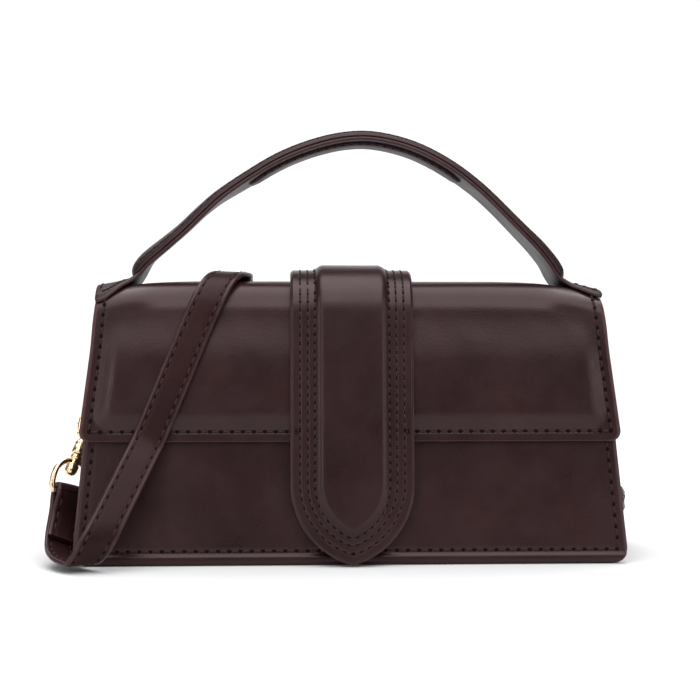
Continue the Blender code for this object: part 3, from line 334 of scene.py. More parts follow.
class Rows:
    """Collects stitches of one body and makes them as two pieces."""

    def __init__(self, name):
        self.name, self.threads, self.holes = name, [], []

    def add(self, line, normals, pitch, **more):
        t, h = stitch_parts(line, normals, pitch, **more)
        self.threads += t
        self.holes += h

    def make(self, body=None, slot="leather"):
        v, f = together(self.threads)
        a = object_from(self.name + "_thread", v, f, [THREAD], body=body, merge=0.0001)
        # the holes: dark lenses coloured with painted shade
        v, f = together(self.holes)
        b = object_from(self.name + "_holes", v, f, [HOLE_SHADE], body=body, merge=0.0001)
        return a, b


# ---------------------------------------------------------------- materials
def nodes_of(name):
    m = bpy.data.materials.new(name)
    m.use_nodes = True
    nt = m.node_tree
    p = nt.nodes["Principled BSDF"]
    co = nt.nodes.new("ShaderNodeTexCoord")
    return m, nt, p, co


def noise(nt, co, scale, detail=3.0, rough=0.55, stretch=None):
    n = nt.nodes.new("ShaderNodeTexNoise")
    n.inputs["Scale"].default_value = scale
    n.inputs["Detail"].default_value = detail
    n.inputs["Roughness"].default_value = rough
    src = co.outputs["Object"]
    if stretch:
        mp = nt.nodes.new("ShaderNodeMapping")
        mp.inputs["Scale"].default_value = stretch
        nt.links.new(src, mp.inputs["Vector"])
        src = mp.outputs["Vector"]
    nt.links.new(src, n.inputs["Vector"])
    return n


def ramp(nt, value, stops):
    r = nt.nodes.new("ShaderNodeValToRGB")
    e = r.color_ramp.elements
    while len(e) < len(stops):
        e.new(0.5)
    for i, (at, c) in enumerate(stops):
        e[i].position = at
        e[i].color = (*c, 1.0) if len(c) == 3 else c
    nt.links.new(value, r.inputs["Fac"])
    return r


def span(nt, value, lo, hi, a=0.0, b=1.0):
    r = nt.nodes.new("ShaderNodeMapRange")
    r.inputs["From Min"].default_value = a
    r.inputs["From Max"].default_value = b
    r.inputs["To Min"].default_value = lo
    r.inputs["To Max"].default_value = hi
    nt.links.new(value, r.inputs["Value"])
    return r.outputs["Result"]


def total(nt, a, b, op="ADD"):
    m = nt.nodes.new("ShaderNodeMath")
    m.operation = op
    for i, v in enumerate((a, b)):
        if isinstance(v, (int, float)):
            m.inputs[i].default_value = v
        else:
            nt.links.new(v, m.inputs[i])
    return m.outputs[0]


def bump(nt, p, height, strength, distance):
    b = nt.nodes.new("ShaderNodeBump")
    b.inputs["Strength"].default_value = strength
    b.inputs["Distance"].default_value = distance
    nt.links.new(height, b.inputs["Height"])
    nt.links.new(b.outputs["Normal"], p.inputs["Normal"])


def leather(name, dark, mid, light, rough=(0.27, 0.37), grain=1500, depth=0.00007, coat=0.0, spec=0.36):
    """Smooth coated leather: fine pore grain over a slow, faint mottle."""
    m, nt, p, co = nodes_of(name)
    slow = noise(nt, co, 26, 4.0, 0.6)
    fine = noise(nt, co, grain, 3.0, 0.6)
    cells = nt.nodes.new("ShaderNodeTexVoronoi")
    cells.feature = "SMOOTH_F1"
    cells.inputs["Scale"].default_value = grain * 0.8
    cells.inputs["Smoothness"].default_value = 0.5
    nt.links.new(co.outputs["Object"], cells.inputs["Vector"])
    mix = total(nt, span(nt, slow.outputs["Fac"], 0.0, 0.7, 0.3, 0.7), span(nt, fine.outputs["Fac"], 0.0, 0.3, 0.3, 0.7))
    c = ramp(nt, mix, [(0.12, dark), (0.5, mid), (0.9, light)])
    nt.links.new(c.outputs["Color"], p.inputs["Base Color"])
    r = noise(nt, co, 60, 4.0, 0.65)
    nt.links.new(span(nt, r.outputs["Fac"], rough[0], rough[1], 0.3, 0.7), p.inputs["Roughness"])
    h = total(nt, total(nt, fine.outputs["Fac"], 0.5, "MULTIPLY"), total(nt, cells.outputs["Distance"], 0.7, "MULTIPLY"))
    bump(nt, p, h, 0.55, depth)
    p.inputs["Specular IOR Level"].default_value = spec
    p.inputs["Specular Tint"].default_value = (1.0, 0.80, 0.81, 1.0)
    p.inputs["Coat Weight"].default_value = coat
    p.inputs["Coat Roughness"].default_value = 0.32
    return m


def painted(name, dark, light, rough=(0.3, 0.42)):
    """Edge paint: several coats over the cut edge, a little uneven along it."""
    m, nt, p, co = nodes_of(name)
    slow = noise(nt, co, 210, 4.0, 0.6)
    c = ramp(nt, slow.outputs["Fac"], [(0.3, dark), (0.7, light)])
    nt.links.new(c.outputs["Color"], p.inputs["Base Color"])
    nt.links.new(span(nt, slow.outputs["Fac"], rough[0], rough[1], 0.3, 0.7), p.inputs["Roughness"])
    lay = noise(nt, co, 420, 3.0, 0.5, (0.6, 0.6, 1.6))
    bump(nt, p, lay.outputs["Fac"], 0.4, 0.00012)
    p.inputs["Coat Weight"].default_value = 0.06
    p.inputs["Specular IOR Level"].default_value = 0.3
    p.inputs["Specular Tint"].default_value = (1.0, 0.78, 0.79, 1.0)
    p.inputs["Coat Roughness"].default_value = 0.25
    return m


def thread_mat(name, dark, light):
    """Bonded sewing thread: twisted plies."""
    m, nt, p, co = nodes_of(name)
    w = nt.nodes.new("ShaderNodeTexWave")
    w.wave_type = "BANDS"
    w.bands_direction = "DIAGONAL"
    w.inputs["Scale"].default_value = 900
    w.inputs["Distortion"].default_value = 1.2
    nt.links.new(co.outputs["Object"], w.inputs["Vector"])
    c = ramp(nt, w.outputs["Fac"], [(0.1, dark), (0.8, light)])
    nt.links.new(c.outputs["Color"], p.inputs["Base Color"])
    nt.links.new(span(nt, w.outputs["Fac"], 0.62, 0.78), p.inputs["Roughness"])
    bump(nt, p, w.outputs["Fac"], 0.6, 0.00008)
    p.inputs["Specular IOR Level"].default_value = 0.16
    return m


def gold_mat(name):
    """Polished light-gold plating with hairlines and a little dulling in use."""
    m, nt, p, co = nodes_of(name)
    slow = noise(nt, co, 120, 4.0, 0.6)
    c = ramp(nt, slow.outputs["Fac"], [(0.3, (0.80, 0.55, 0.32)), (0.7, (0.92, 0.70, 0.46))])
    nt.links.new(c.outputs["Color"], p.inputs["Base Color"])
    lines = noise(nt, co, 500, 3.0, 0.6, (1.0, 6.0, 1.0))
    nt.links.new(span(nt, lines.outputs["Fac"], 0.12, 0.27, 0.3, 0.7), p.inputs["Roughness"])
    bump(nt, p, lines.outputs["Fac"], 0.25, 0.00003)
    p.inputs["Metallic"].default_value = 1.0
    return m


def woven(name, dark, light, pitch=0.0006):
    """Twill lining fabric."""
    m, nt, p, co = nodes_of(name)
    waves = []
    for direction in ("X", "Z"):
        w = nt.nodes.new("ShaderNodeTexWave")
        w.wave_type = "BANDS"
        w.bands_direction = direction
        w.inputs["Scale"].default_value = 1.0 / pitch / 6.28
        w.inputs["Distortion"].default_value = 0.4
        w.inputs["Detail Scale"].default_value = 2.0
        nt.links.new(co.outputs["Object"], w.inputs["Vector"])
        waves.append(w.outputs["Fac"])
    mix = total(nt, waves[0], waves[1], "MULTIPLY")
    slow = noise(nt, co, 70, 3.0)
    tone = total(nt, mix, span(nt, slow.outputs["Fac"], -0.15, 0.15, 0.3, 0.7))
    c = ramp(nt, tone, [(0.0, dark), (0.7, light)])
    nt.links.new(c.outputs["Color"], p.inputs["Base Color"])
    nt.links.new(span(nt, mix, 0.88, 0.72), p.inputs["Roughness"])
    bump(nt, p, mix, 0.7, 0.00015)
    p.inputs["Sheen Weight"].default_value = 0.2
    return m


SKIN = leather("brown_leather", (0.0112, 0.0036, 0.0039), (0.0166, 0.0055, 0.0059), (0.0235, 0.0086, 0.0090))
STRAP_SKIN = leather("brown_strap_leather", (0.0112, 0.0037, 0.0040), (0.0166, 0.0056, 0.0060), (0.0235, 0.0087, 0.0091), rough=(0.36, 0.46), grain=1700, spec=0.15)
GRIP_SKIN = leather("brown_grip_leather", (0.0090, 0.0031, 0.0034), (0.0140, 0.0050, 0.0053), (0.0200, 0.0076, 0.0079), rough=(0.40, 0.52), grain=1300, spec=0.20)
FLESH = leather("brown_leather_back", (0.0200, 0.0100, 0.0090), (0.0300, 0.0160, 0.0140), (0.0420, 0.0230, 0.0200), rough=(0.62, 0.78), grain=900, depth=0.00012, coat=0.0, spec=0.3)
EDGE = painted("edge_paint", (0.034, 0.0140, 0.0150), (0.054, 0.0240, 0.0255))
DARK_EDGE = painted("dark_edge_paint", (0.020, 0.0078, 0.0084), (0.034, 0.0140, 0.0150))
THREAD = thread_mat("brown_thread", (0.0150, 0.0060, 0.0062), (0.0520, 0.0230, 0.0236))
# needle holes: the near-black colour is painted shade for the depth of each hole
HOLE_SHADE = leather("needle_hole_painted_shade", (0.0030, 0.0014, 0.0014), (0.0042, 0.0020, 0.0020), (0.0060, 0.0030, 0.0030), rough=(0.8, 0.9), coat=0.0, spec=0.1)
GOLD = gold_mat("light_gold")
FABRIC = woven("lining_twill", (0.045, 0.024, 0.020), (0.115, 0.066, 0.054))
BOARD = leather("pressed_board", (0.14, 0.11, 0.08), (0.20, 0.16, 0.12), (0.27, 0.22, 0.17), rough=(0.8, 0.95), grain=500, depth=0.0003, coat=0.0, spec=0.2)


# ---------------------------------------------------------------- camera and cords first
cam_data = bpy.data.cameras.new("camera")
cam_data.sensor_width = 36.0
cam_data.lens = 1398.0 / 700.0 * 36.0
cam_data.clip_start, cam_data.clip_end = 0.01, 20.0
cam = bpy.data.objects.new("camera", cam_data)
cam.location = (-0.027, -0.635 + Y_SHIFT * 0.001, 0.092)
cam.rotation_euler = (math.radians(90.0), 0.0, math.radians(-2.48))
bpy.context.scene.collection.objects.link(cam)
bpy.context.scene.camera = cam


def hardware_frame(side):
    """The D-ring's, hook's and swivel loop's places and axes on one end of the bag."""
    bar_z = 73.5
    gx = BASE_HALF - TAPER * bar_z - 7.0
    back_x = gx + GAP + 0.75
    bar = np.array([side * (back_x + 0.65 + 0.3 + RING_WIRE / 2 + 0.15), 0.0, bar_z])
    out = unit((side * 5.6, 0, -13.0))
    low = bar + out * 13.0
    knob = low + (np.array([-7.2, -12.2, -20.2]) if side < 0 else np.array([6.4, 5.0, -22.0]))
    a = unit(low - knob)
    n = unit(np.array([0, 1, 0]) - a[1] * a)
    l = np.cross(a, n)
    if l[0] * side < 0:
        l = -l
    top = RING_WIRE / 2 + GAP + HOOK_WIRE / 2 + 0.6
    hw, cz, hh = 4.5, top - 7.4, 7.4
    end = low + a * (cz - hh - 8.6 - GAP)
    if side < 0:
        across, down = unit((0.785, 0.556, -0.27)), unit((-0.29, -0.385, -0.88))
    else:
        across, down = unit((0.30, 0.95, 0.0)), unit((0.16, 0.12, -0.98))
    down = unit(down - across * (down @ across))
    kb = end - a * 3.2
    return dict(bar=bar, out=out, low=low, a=a, n=n, l=l, end=end, across=across, down=down, kb=kb, centre=kb + down * 14.0, hw=hw, cz=cz, hh=hh, back_x=back_x)


LEFT, RIGHT = hardware_frame(-1), hardware_frame(1)


def loop_end(centre, across, away, outward):
    r = HOOK_WIRE / 2 + GAP + STRAP_T / 2
    away = unit(away - across * (away @ across))
    n = unit(np.cross(across, away))
    if n @ np.array(outward, float) < 0:
        n = -n
    pts = []
    for d in (20.0, 15.0, 10.0, 5.5):
        pts.append(centre + away * d + n * (r if d < 7 else (r * 0.72 if d < 12 else STRAP_T / 2 + 0.25)))
    for k in range(9):
        a = math.pi * k / 8
        pts.append(centre + n * (r * math.cos(a)) - away * (r * math.sin(a)))
    for d in (5.5, 10.0):
        pts.append(centre + away * d - n * (r if d < 7 else r * 0.72))
    return pts


def turned(start, end, share):
    r = end @ start.T
    ang = math.acos(max(-1.0, min(1.0, (np.trace(r) - 1) / 2))) * share
    ax = unit((r[2, 1] - r[1, 2], r[0, 2] - r[2, 0], r[1, 0] - r[0, 1]))
    k = np.array([[0, -ax[2], ax[1]], [ax[2], 0, -ax[0]], [-ax[1], ax[0], 0]])
    return (np.eye(3) + math.sin(ang) * k + (1 - math.cos(ang)) * k @ k) @ start


def strap_frame(along, across):
    t = unit(along)
    w = unit(np.array(across, float) - t * (np.array(across, float) @ t))
    return np.stack([t, w, np.cross(t, w)], 1)


def keyed_frame(azimuth, elevation, roll):
    az, el, ro = (math.radians(v) for v in (azimuth, elevation, roll))
    t = np.array([math.cos(el) * math.cos(az), -math.cos(el) * math.sin(az), math.sin(el)])
    w = unit(np.cross((0, 0, 1.0), t))
    n = np.cross(t, w)
    w = math.cos(ro) * w + math.sin(ro) * n
    return np.stack([t, w, np.cross(t, w)], 1)


def floor_turn(lc, la, top):
    t1 = np.array([-0.643, -0.651, -0.9])
    t1 = unit(t1 - la * (t1 @ la))
    f1 = np.stack([t1, la, np.cross(t1, la)], 1)
    rise = np.array([0.460, 0.532, 1.0])
    f2 = strap_frame(rise, (0.918, -0.040, -0.395))
    c, s = math.cos(math.radians(-4.4)), math.sin(math.radians(-4.4))
    f2 = strap_frame(rise, c * f2[:, 1] + s * np.cross(f2[:, 0], f2[:, 1]))
    keys = [f1, keyed_frame(71.4, -5.3, -19.3), keyed_frame(49.0, 2.2, 0.9), f2]
    shares = [0.0, 0.451, 0.715, 1.0]
    n = 60
    frames = []
    for i in range(n + 1):
        u = i / n
        k = 0 if u < shares[1] else (1 if u < shares[2] else 2)
        frames.append(turned(keys[k], keys[k + 1], (u - shares[k]) / (shares[k + 1] - shares[k])))
    steps = [(frames[i][:, 0] + frames[i + 1][:, 0]) / 2 for i in range(n)]
    p0 = lc - f1[:, 2] * (STRAP_T / 2 + GAP / 2)
    down, turn, up = np.linalg.solve(np.stack([t1, np.mean(steps, 0), rise], 1), top - p0)
    p = p0 + down * t1
    pts = [p]
    for q in steps:
        p = p + q * turn / n
        pts.append(p)
    pts = np.array(pts)
    u = np.linspace(0, 1, n + 1)
    push = np.sin(math.pi * np.clip(u / 0.85, 0, 1)) ** 2
    pts[:, 0] -= CORNER_PUSH * push
    pts[:, 1] -= 0.6 * CORNER_PUSH * push
    return p0, down, turn, pts, frames


def on_floor(points, across, width, thick, least=0.35):
    p, w = np.array(points, float), np.array(across, float)
    for _ in range(3):
        t = np.gradient(p, axis=0)
        t = t / np.linalg.norm(t, axis=1)[:, None]
        for i in range(len(p)):
            a = unit(w[i] - t[i] * (w[i] @ t[i]))
            n = np.cross(t[i], a)
            p[i][2] = max(p[i][2], least + abs(a[2]) * width / 2 + abs(n[2]) * thick / 2)
    return p


def strap_x(z):
    return -86.4 + (z - 54.9) * (0.407 if z > 54.9 else 0.460)


def strap_routes():
    """Centre lines and width directions: tail, left end, front run, over the top, rear, right end."""
    lc, la = LEFT["centre"], LEFT["across"]
    rc, ra = RIGHT["centre"], RIGHT["across"]
    d = GAP + STRAP_T / 2
    top = np.array([strap_x(53.0), -FLAP_FRONT_Y0 + LEAN * 53.0 - d - 0.15, 53.0])
    p0, down, turn, pts, frames = floor_turn(lc, la, top)
    face, along = frames[0][:, 2], frames[0][:, 0]

    def main(at):
        if at <= down:
            spread = (HOOK_WIRE / 2 + GAP + STRAP_T / 2 - STRAP_T / 2 - GAP / 2) * (1 - float(smooth((at - 1.0) / 9.0)))
            return p0 + along * at - face * spread, frames[0], spread
        u = min((at - down) / turn, 1.0) * (len(pts) - 1)
        i = min(int(u), len(pts) - 2)
        return pts[i] + (pts[i + 1] - pts[i]) * (u - i), frames[min(int(round(u)), len(pts) - 1)], 0.0
    tail, tail_w = [], []
    for at in (25.0, 21.5, 18.0, 14.5, 11.0, 7.5, 4.5, 2.0):
        q, f, spread = main(at)
        tail.append(q + f[:, 2] * (STRAP_T + GAP + 2 * spread))
        tail_w.append(f[:, 1])
    left, left_w = [], []
    r = HOOK_WIRE / 2 + GAP + STRAP_T / 2
    for k in range(9):
        a = math.pi * k / 8
        left.append(lc + face * (r * math.cos(a)) - along * (r * math.sin(a)))
        left_w.append(la)
    for at in np.linspace(3.5, down + turn - 0.9, 20):
        q, f, spread = main(at)
        left.append(q)
        left_w.append(f[:, 1])
    n_tail = len(tail)
    both = on_floor(np.array(tail + left), np.array(tail_w + left_w), STRAP_W, STRAP_T)
    both_w = np.array(tail_w + left_w)
    tail, tail_w = both[:n_tail + 1], both_w[:n_tail + 1]
    left, left_w = both[n_tail:], both_w[n_tail:]
    wf = unit((0.918, -0.040, -0.395))
    low_w = frames[-1][:, 1]
    start = (tuple(left[-1]), low_w)
    front = [start]
    for u in (0.25, 0.5, 0.75):
        front.append((tuple(pts[-1] + (top - pts[-1]) * u), unit(low_w * (1 - u) + wf * u)))
    for z, out in ((53.0, 0.15), (62.0, 0.0), (75.0, 0.0), (90.0, 0.0), (106.0, 0.0)):
        front.append(((strap_x(z), -FLAP_FRONT_Y0 + LEAN * z - d - out, z), wf))
    cf, cb = np.array(FRONT_ROLL_C), np.array(BACK_ROLL_C)
    arc = []
    for i in range(1, 8):
        a = math.radians(174 - (174 - 90) * i / 7)
        arc.append(cf + (FRONT_ROLL_R + d + 1.6 * float(smooth(i / 7))) * np.array([math.cos(a), math.sin(a)]))
    for y in (-6.0, 1.0, 8.0):
        arc.append(np.array([y, TOP_Z + d + 1.6]))
    for i in range(0, 7):
        a = math.radians(90 - 84 * i / 6)
        arc.append(cb + (BACK_ROLL_R + d + 1.6 * (1 - float(smooth(i / 6)))) * np.array([math.cos(a), math.sin(a)]))
    prev = np.array([-FLAP_FRONT_Y0 + LEAN * 106.0 - d, 106.0])
    x = strap_x(106.0)
    over = []
    for q in arc:
        step = np.linalg.norm(q - prev)
        slant = SLANT - 0.46 * float(smooth((q[0] + 16.0) / 24.0))
        x += step * slant
        tan = unit(np.array([slant * step, q[0] - prev[0], q[1] - prev[1]]))
        nrm = unit(np.cross((1, 0, 0), tan))
        w = unit(np.cross(tan, nrm)) * -1
        over.append(((x, q[0], q[1]), w if w[0] > 0 else -w))
        prev = q
    bx = over[-1][0][0] - 0.5
    back = []
    for z, out, shift, w in ((103.0, 0.4, 0.2, (0.95, -0.02, 0.26)), (92.0, 0.9, 0.6, (1.0, 0.0, 0.06)), (78.0, 1.8, 1.6, (1.0, 0.05, 0.0)), (60.0, 4.5, 3.6, (0.98, 0.15, 0.04)), (43.0, 8.5, 6.6, (0.80, 0.55, 0.2))):
        back.append(((bx + shift, PANEL_Y0 - LEAN * z + d + out, z), unit(w)))
    for p, w in (
        ((bx + 14.6, 47.5, 26.0), (0.45, 0.87, 0.20)), ((bx + 27.6, 49.5, 10.5), (0.12, 0.98, 0.10)),
        ((bx + 44.6, 50.0, 2.6), (0.0, 1.0, 0.0)), ((24.0, 50.0, 1.6), (0.0, 1.0, 0.0)),
        ((56.0, 50.0, 1.6), (0.0, 1.0, 0.0)), ((88.0, 50.0, 1.6), (0.0, 1.0, 0.0)),
        ((99.0, 50.0, 4.0), (0.0, 1.0, 0.0)), ((103.0, 50.4, 9.6), (0.0, 1.0, 0.0)),
        ((97.0, 50.8, 14.6), (0.0, 1.0, 0.0)), ((80.0, 51.0, 14.0), (0.0, 1.0, 0.0)),
        ((55.0, 54.0, 11.2), (0.02, 1.0, 0.0)), ((30.0, 61.0, 8.4), (0.10, 1.0, 0.0)),
        ((0.0, 66.0, 4.6), (0.06, 1.0, 0.0)), ((-40.0, 64.0, 2.0), (-0.05, 1.0, 0.0)),
        ((-72.0, 59.0, 1.6), (-0.1, 1.0, 0.0)), ((-94.0, 55.0, 2.6), (-0.1, 1.0, 0.0)),
        ((-103.0, 53.6, 8.6), (-0.1, 1.0, 0.0)), ((-95.0, 53.2, 15.0), (-0.06, 1.0, 0.0)),
        ((-70.0, 53.0, 15.0), (0.0, 1.0, 0.0)), ((-35.0, 52.6, 12.8), (0.0, 1.0, 0.0)),
        ((0.0, 53.0, 18.5), (0.0, 1.0, 0.0)), ((30.0, 60.0, 23.5), (0.05, 1.0, 0.0)),
        ((62.0, 64.0, 24.5), (0.0, 1.0, 0.0)), ((92.0, 62.0, 24.0), (-0.1, 1.0, 0.0)),
        ((112.0, 54.0, 17.0), (-0.1, 1.0, 0.1)), ((122.0, 43.0, 9.5), (0.10, 0.9, 0.35)),
        ((126.8, 30.0, 8.5), (0.30, 0.60, 0.70)), ((127.4, 20.0, 13.0), (0.30, 0.80, 0.50)),
    ):
        back.append((p, unit(w)))
    end = loop_end(rc, ra, (0.12, 0.35, -0.93), (0.6, -0.5, 0))[::-1]
    chain = front + over + back + [(tuple(p), ra) for p in end[:2]]
    line, wide = curve([p for p, w in chain], 1.8, [w for p, w in chain])
    tip = np.array(end[2:])
    line = np.concatenate([line, tip])
    wide = np.concatenate([wide, np.array([ra] * len(tip))])
    line = on_floor(line, wide, STRAP_W, STRAP_T)
    seam = np.array(over[-1][0])
    cut = int(np.argmin(np.linalg.norm(line - seam, axis=1)))
    s = lengths(line)
    last = int(np.searchsorted(s, s[-1] - 62.0))
    return tail, tail_w, left, left_w, line, wide, cut, last


def tangents(line):
    t = np.gradient(line, axis=0)
    return t / np.linalg.norm(t, axis=1)[:, None]


def strap_solid(line, wide, t):
    """A strap piece: folded leather with soft painted edges, a shallow valley at each
    sewn row and a little crown between them."""
    hw, ht = STRAP_W / 2, STRAP_T / 2
    prof = []
    for x, h in ((-0.80, 0.86), (-0.72, 0.93), (-0.645, 0.80), (-0.57, 0.95), (-0.3, 1.0), (0.0, 1.0), (0.3, 1.0), (0.57, 0.95), (0.645, 0.80), (0.72, 0.93), (0.80, 0.86)):
        prof.append((x * hw, h * ht, 0))
    prof += [(0.89 * hw, 0.84 * ht, 1), (0.965 * hw, 0.62 * ht, 1), (0.995 * hw, 0.22 * ht, 1)]
    full = [p for p in prof] + [(x, -h, s) for x, h, s in prof[::-1]]
    full += [(-x, -h, s) for x, h, s in prof[11:]] + [(-x, h, s) for x, h, s in prof[:10:-1]]
    m = len(full)
    loops = []
    for i in range(len(line)):
        a = unit(wide[i] - t[i] * (wide[i] @ t[i]))
        n = np.cross(t[i], a)
        loops.append([line[i] + a * x + n * h for x, h, s in full])
    v, f = loft(loops)
    slots = []
    for i in range(len(line) - 1):
        for j in range(m):
            slots.append(1 if full[j][2] and full[(j + 1) % m][2] else (1 if full[j][2] or full[(j + 1) % m][2] else 0))
    slots += [0, 0]
    return v, f, slots


def strap_rows(rows, line, wide, t, pitch=4.8, both=True, trim=2.0):
    a = np.array([unit(w - q * (w @ q)) for w, q in zip(wide, t)])
    n = np.cross(t, a)
    s = lengths(line)
    keep = (s >= trim) & (s <= s[-1] - trim)
    for side in (-1, 1):
        for face in ((1, -1) if both else (1,)):
            p = line + a * side * 0.645 * STRAP_W / 2 + n * face * (0.80 * STRAP_T / 2 + 0.08)
            rows.add(p[keep], (n * face)[keep], pitch, radius=0.40)


TAIL, TAIL_W, LEFT_LINE, LEFT_W, LINE, WIDE, CUT, LAST = strap_routes()


def blend_mm(obj):
    obj.parent = None
    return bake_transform(obj)


def strap_piece(name, line, wide, t, node, slot="strap_leather", trim=2.0):
    v, f, slots = strap_solid(line, wide, t)
    o = object_from(name, v, f, [STRAP_SKIN, DARK_EDGE], slots, sharp=62)
    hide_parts(node)
    rows = Rows(name)
    strap_rows(rows, line, wide, t, trim=trim)
    th, ho = rows.make(slot=slot)
    return o, th, ho, line


JOINED = np.concatenate([LEFT_LINE, LINE[1:]])
JOINED_W = np.concatenate([LEFT_W, WIDE[1:]])
SPLIT_AT = lengths(LEFT_LINE)[-1]
RUN, RUN_W = even(JOINED, 1.3, (JOINED_W,))
RUN_AT = lengths(RUN)
for _ in range(70):
    for q in (RUN, RUN_W):
        mean = (q[:-2] + q[2:]) / 2
        k = 0.5 * smooth(1.6 - np.abs(RUN_AT[1:-1] - SPLIT_AT - 3.0) / 13.0)[:, None]
        q[1:-1] += (mean - q[1:-1]) * k
RUN_T = tangents(RUN)


def run_index(point):
    return int(np.argmin(np.linalg.norm(RUN - np.array(point), axis=1)))


def run_piece(name, i, j, node, trim=1.2):
    return strap_piece(name, RUN[i:j + 1], RUN_W[i:j + 1], RUN_T[i:j + 1], node, trim=trim)


parts = {}
FRONT_END = int(np.argmin(np.abs(LINE[:CUT, 1] - 8.0) + (LINE[:CUT, 2] < 100) * 99))
S1 = int(np.searchsorted(RUN_AT, SPLIT_AT))
S2, S3, S4 = run_index(LINE[FRONT_END]), run_index(LINE[CUT + 13]), run_index(LINE[LAST])
TAIL_LINE, TAIL_WIDE = even(TAIL, 1.3, (TAIL_W,))
parts["strap_left_end"] = run_piece("strap_left_end", 0, S1, "strap_left")
parts["strap_left_tail"] = strap_piece("strap_left_tail", TAIL_LINE, TAIL_WIDE, tangents(TAIL_LINE), "strap_left")
parts["strap_front_run"] = run_piece("strap_front_run", S1, S2, "strap_front")
parts["strap_over_seam"] = run_piece("strap_over_seam", S2, S3, "strap_front")
parts["strap_rear_run"] = run_piece("strap_rear_run", S3, S4, "strap_rear")
parts["strap_right_end"] = run_piece("strap_right_end", S4, len(RUN) - 1, "strap_rear")
TOP_EDGE = LINE[int(np.argmin(np.abs(LINE[:FRONT_END, 2] - 53.0)))]
for key, a, b, s, e in (
    ("strap_left_end", "left_ring", "bag", LEFT_LINE[12], LEFT_LINE[-3]),
    ("strap_front_run", "bag", "flap", LINE[2], TOP_EDGE),
    ("strap_over_seam", "bag", "flap", (0, 29.0 - Y_SHIFT, 104.0), (0, 10.0 - Y_SHIFT, 112.0)),
    ("strap_right_end", "bag", "right_ring", LINE[LAST], LINE[-18]),
):
    for o in parts[key][:3]:
        blend_mm(o)
for o in parts["strap_left_tail"][:3]:
    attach(o, "left_ring")
for o in parts["strap_rear_run"][:3]:
    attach(o, "bag")


for key, mates in (("strap_front_run", ("strap_left_end", "strap_left_tail", "strap_over_seam")), ("strap_rear_run", ("strap_right_end",))):
    o, th, ho, line = parts[key]


# ---------------------------------------------------------------- the bag's body
def half_width(z):
    return BASE_HALF - TAPER * z


def front_y(z):
    return -PANEL_Y0 + LEAN * z


def droop(x, z):
    """The top falls a little towards both ends, more on the right."""
    t = np.clip((np.abs(x) - 55.0) / 55.0, 0, 1.05) ** 3
    return -np.where(np.asarray(x) > 0, 5.6, 4.0) * t * smooth((z - 92.0) / 28.0)


def spaced_units(n, edge=0.0, fine=6):
    """-1..1 with closer steps next to both ends."""
    core = np.linspace(-1 + edge, 1 - edge, n)
    side = 1 - edge * (1 - (1 - np.arange(1, fine + 1) / fine) ** 1.6)
    side = 1 - edge + edge * (np.arange(1, fine + 1) / fine) ** 0.8
    return np.concatenate([-side[::-1], core, side])


def body_panel(name, sign, z_top, node):
    """Front or back panel: one skin with a bound foot and rounded lower corners."""
    zs = np.concatenate([PANEL_CORNER * (1 - np.cos(np.linspace(0, math.pi / 2, 15))), np.linspace(7.6, z_top, 46)])
    us = spaced_units(61, 0.06, 7)
    outer, inner = [], []
    for z in zs:
        hw = float(half_width(z))
        if z < PANEL_CORNER:
            hw -= PANEL_CORNER - math.sqrt(max(PANEL_CORNER ** 2 - (PANEL_CORNER - z) ** 2, 0.0))
        x = us * hw
        fall = droop(x, z) if sign > 0 else x * 0
        # the bound foot stands a little proud under a narrow groove
        foot = 0.75 * smooth((4.6 - z) / 1.0) - 0.25 * np.exp(-((z - 4.9) / 0.45) ** 2)
        edge = half_width(z) - np.abs(x)
        row = 0.16 * np.exp(-((edge - 4.0) / 0.7) ** 2) + 0.16 * math.exp(-((z - 5.9) / 0.6) ** 2)
        soft = 0.5 * (1 - smooth((edge + 0.1) / 1.5)) + 0.9 * (1 - smooth(z / 1.6))
        proud = foot * smooth(z / 0.5) - row * (edge > 1.0) - soft
        proud = proud * (1 if sign < 0 or z < z_top - 4 else 0)
        y = sign * (PANEL_Y0 - LEAN * z)
        yy = y - sign * LEAN * fall
        outer.append(np.stack([x, yy + sign * proud * math.cos(ANG), z + fall], 1))
        inner.append(np.stack([x, yy - sign * PANEL_T, z + fall], 1))
    v, f, s = shell(np.array(outer), np.array(inner), bulge=0.25, rings=5, band=1)
    o = object_from(name, v, f, [SKIN, EDGE, FLESH], s, body="bag")
    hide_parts(node)
    return o


body_panel("bag_front", -1, 102.0, "front_panel")
body_panel("bag_back", 1, SEAM_Z - 0.3, "back_panel")

rows = Rows("bag_rows")
for sign, z_top in ((-1, 101.0), (1, 109.0)):
    def at(x, z, sign=sign):
        fall = float(droop(np.array(x), z)) if sign > 0 else 0.0
        return (x, sign * (PANEL_Y0 - LEAN * z) - sign * LEAN * fall + sign * -0.1, z + fall)
    nrm = (0, sign * math.cos(ANG), math.sin(ANG))
    for side in (-1, 1):
        zz = np.linspace(6.0, z_top, 90)
        line = [at(side * (half_width(z) - 4.0), z) for z in zz]
        rows.add(line, [nrm] * len(line), 4.8, radius=0.42)
    xs = np.linspace(-115.0, 115.0, 200)
    line = [at(x, 5.95) for x in xs]
    rows.add(line, [nrm] * len(line), 4.8, radius=0.42)
rows.make("bag")


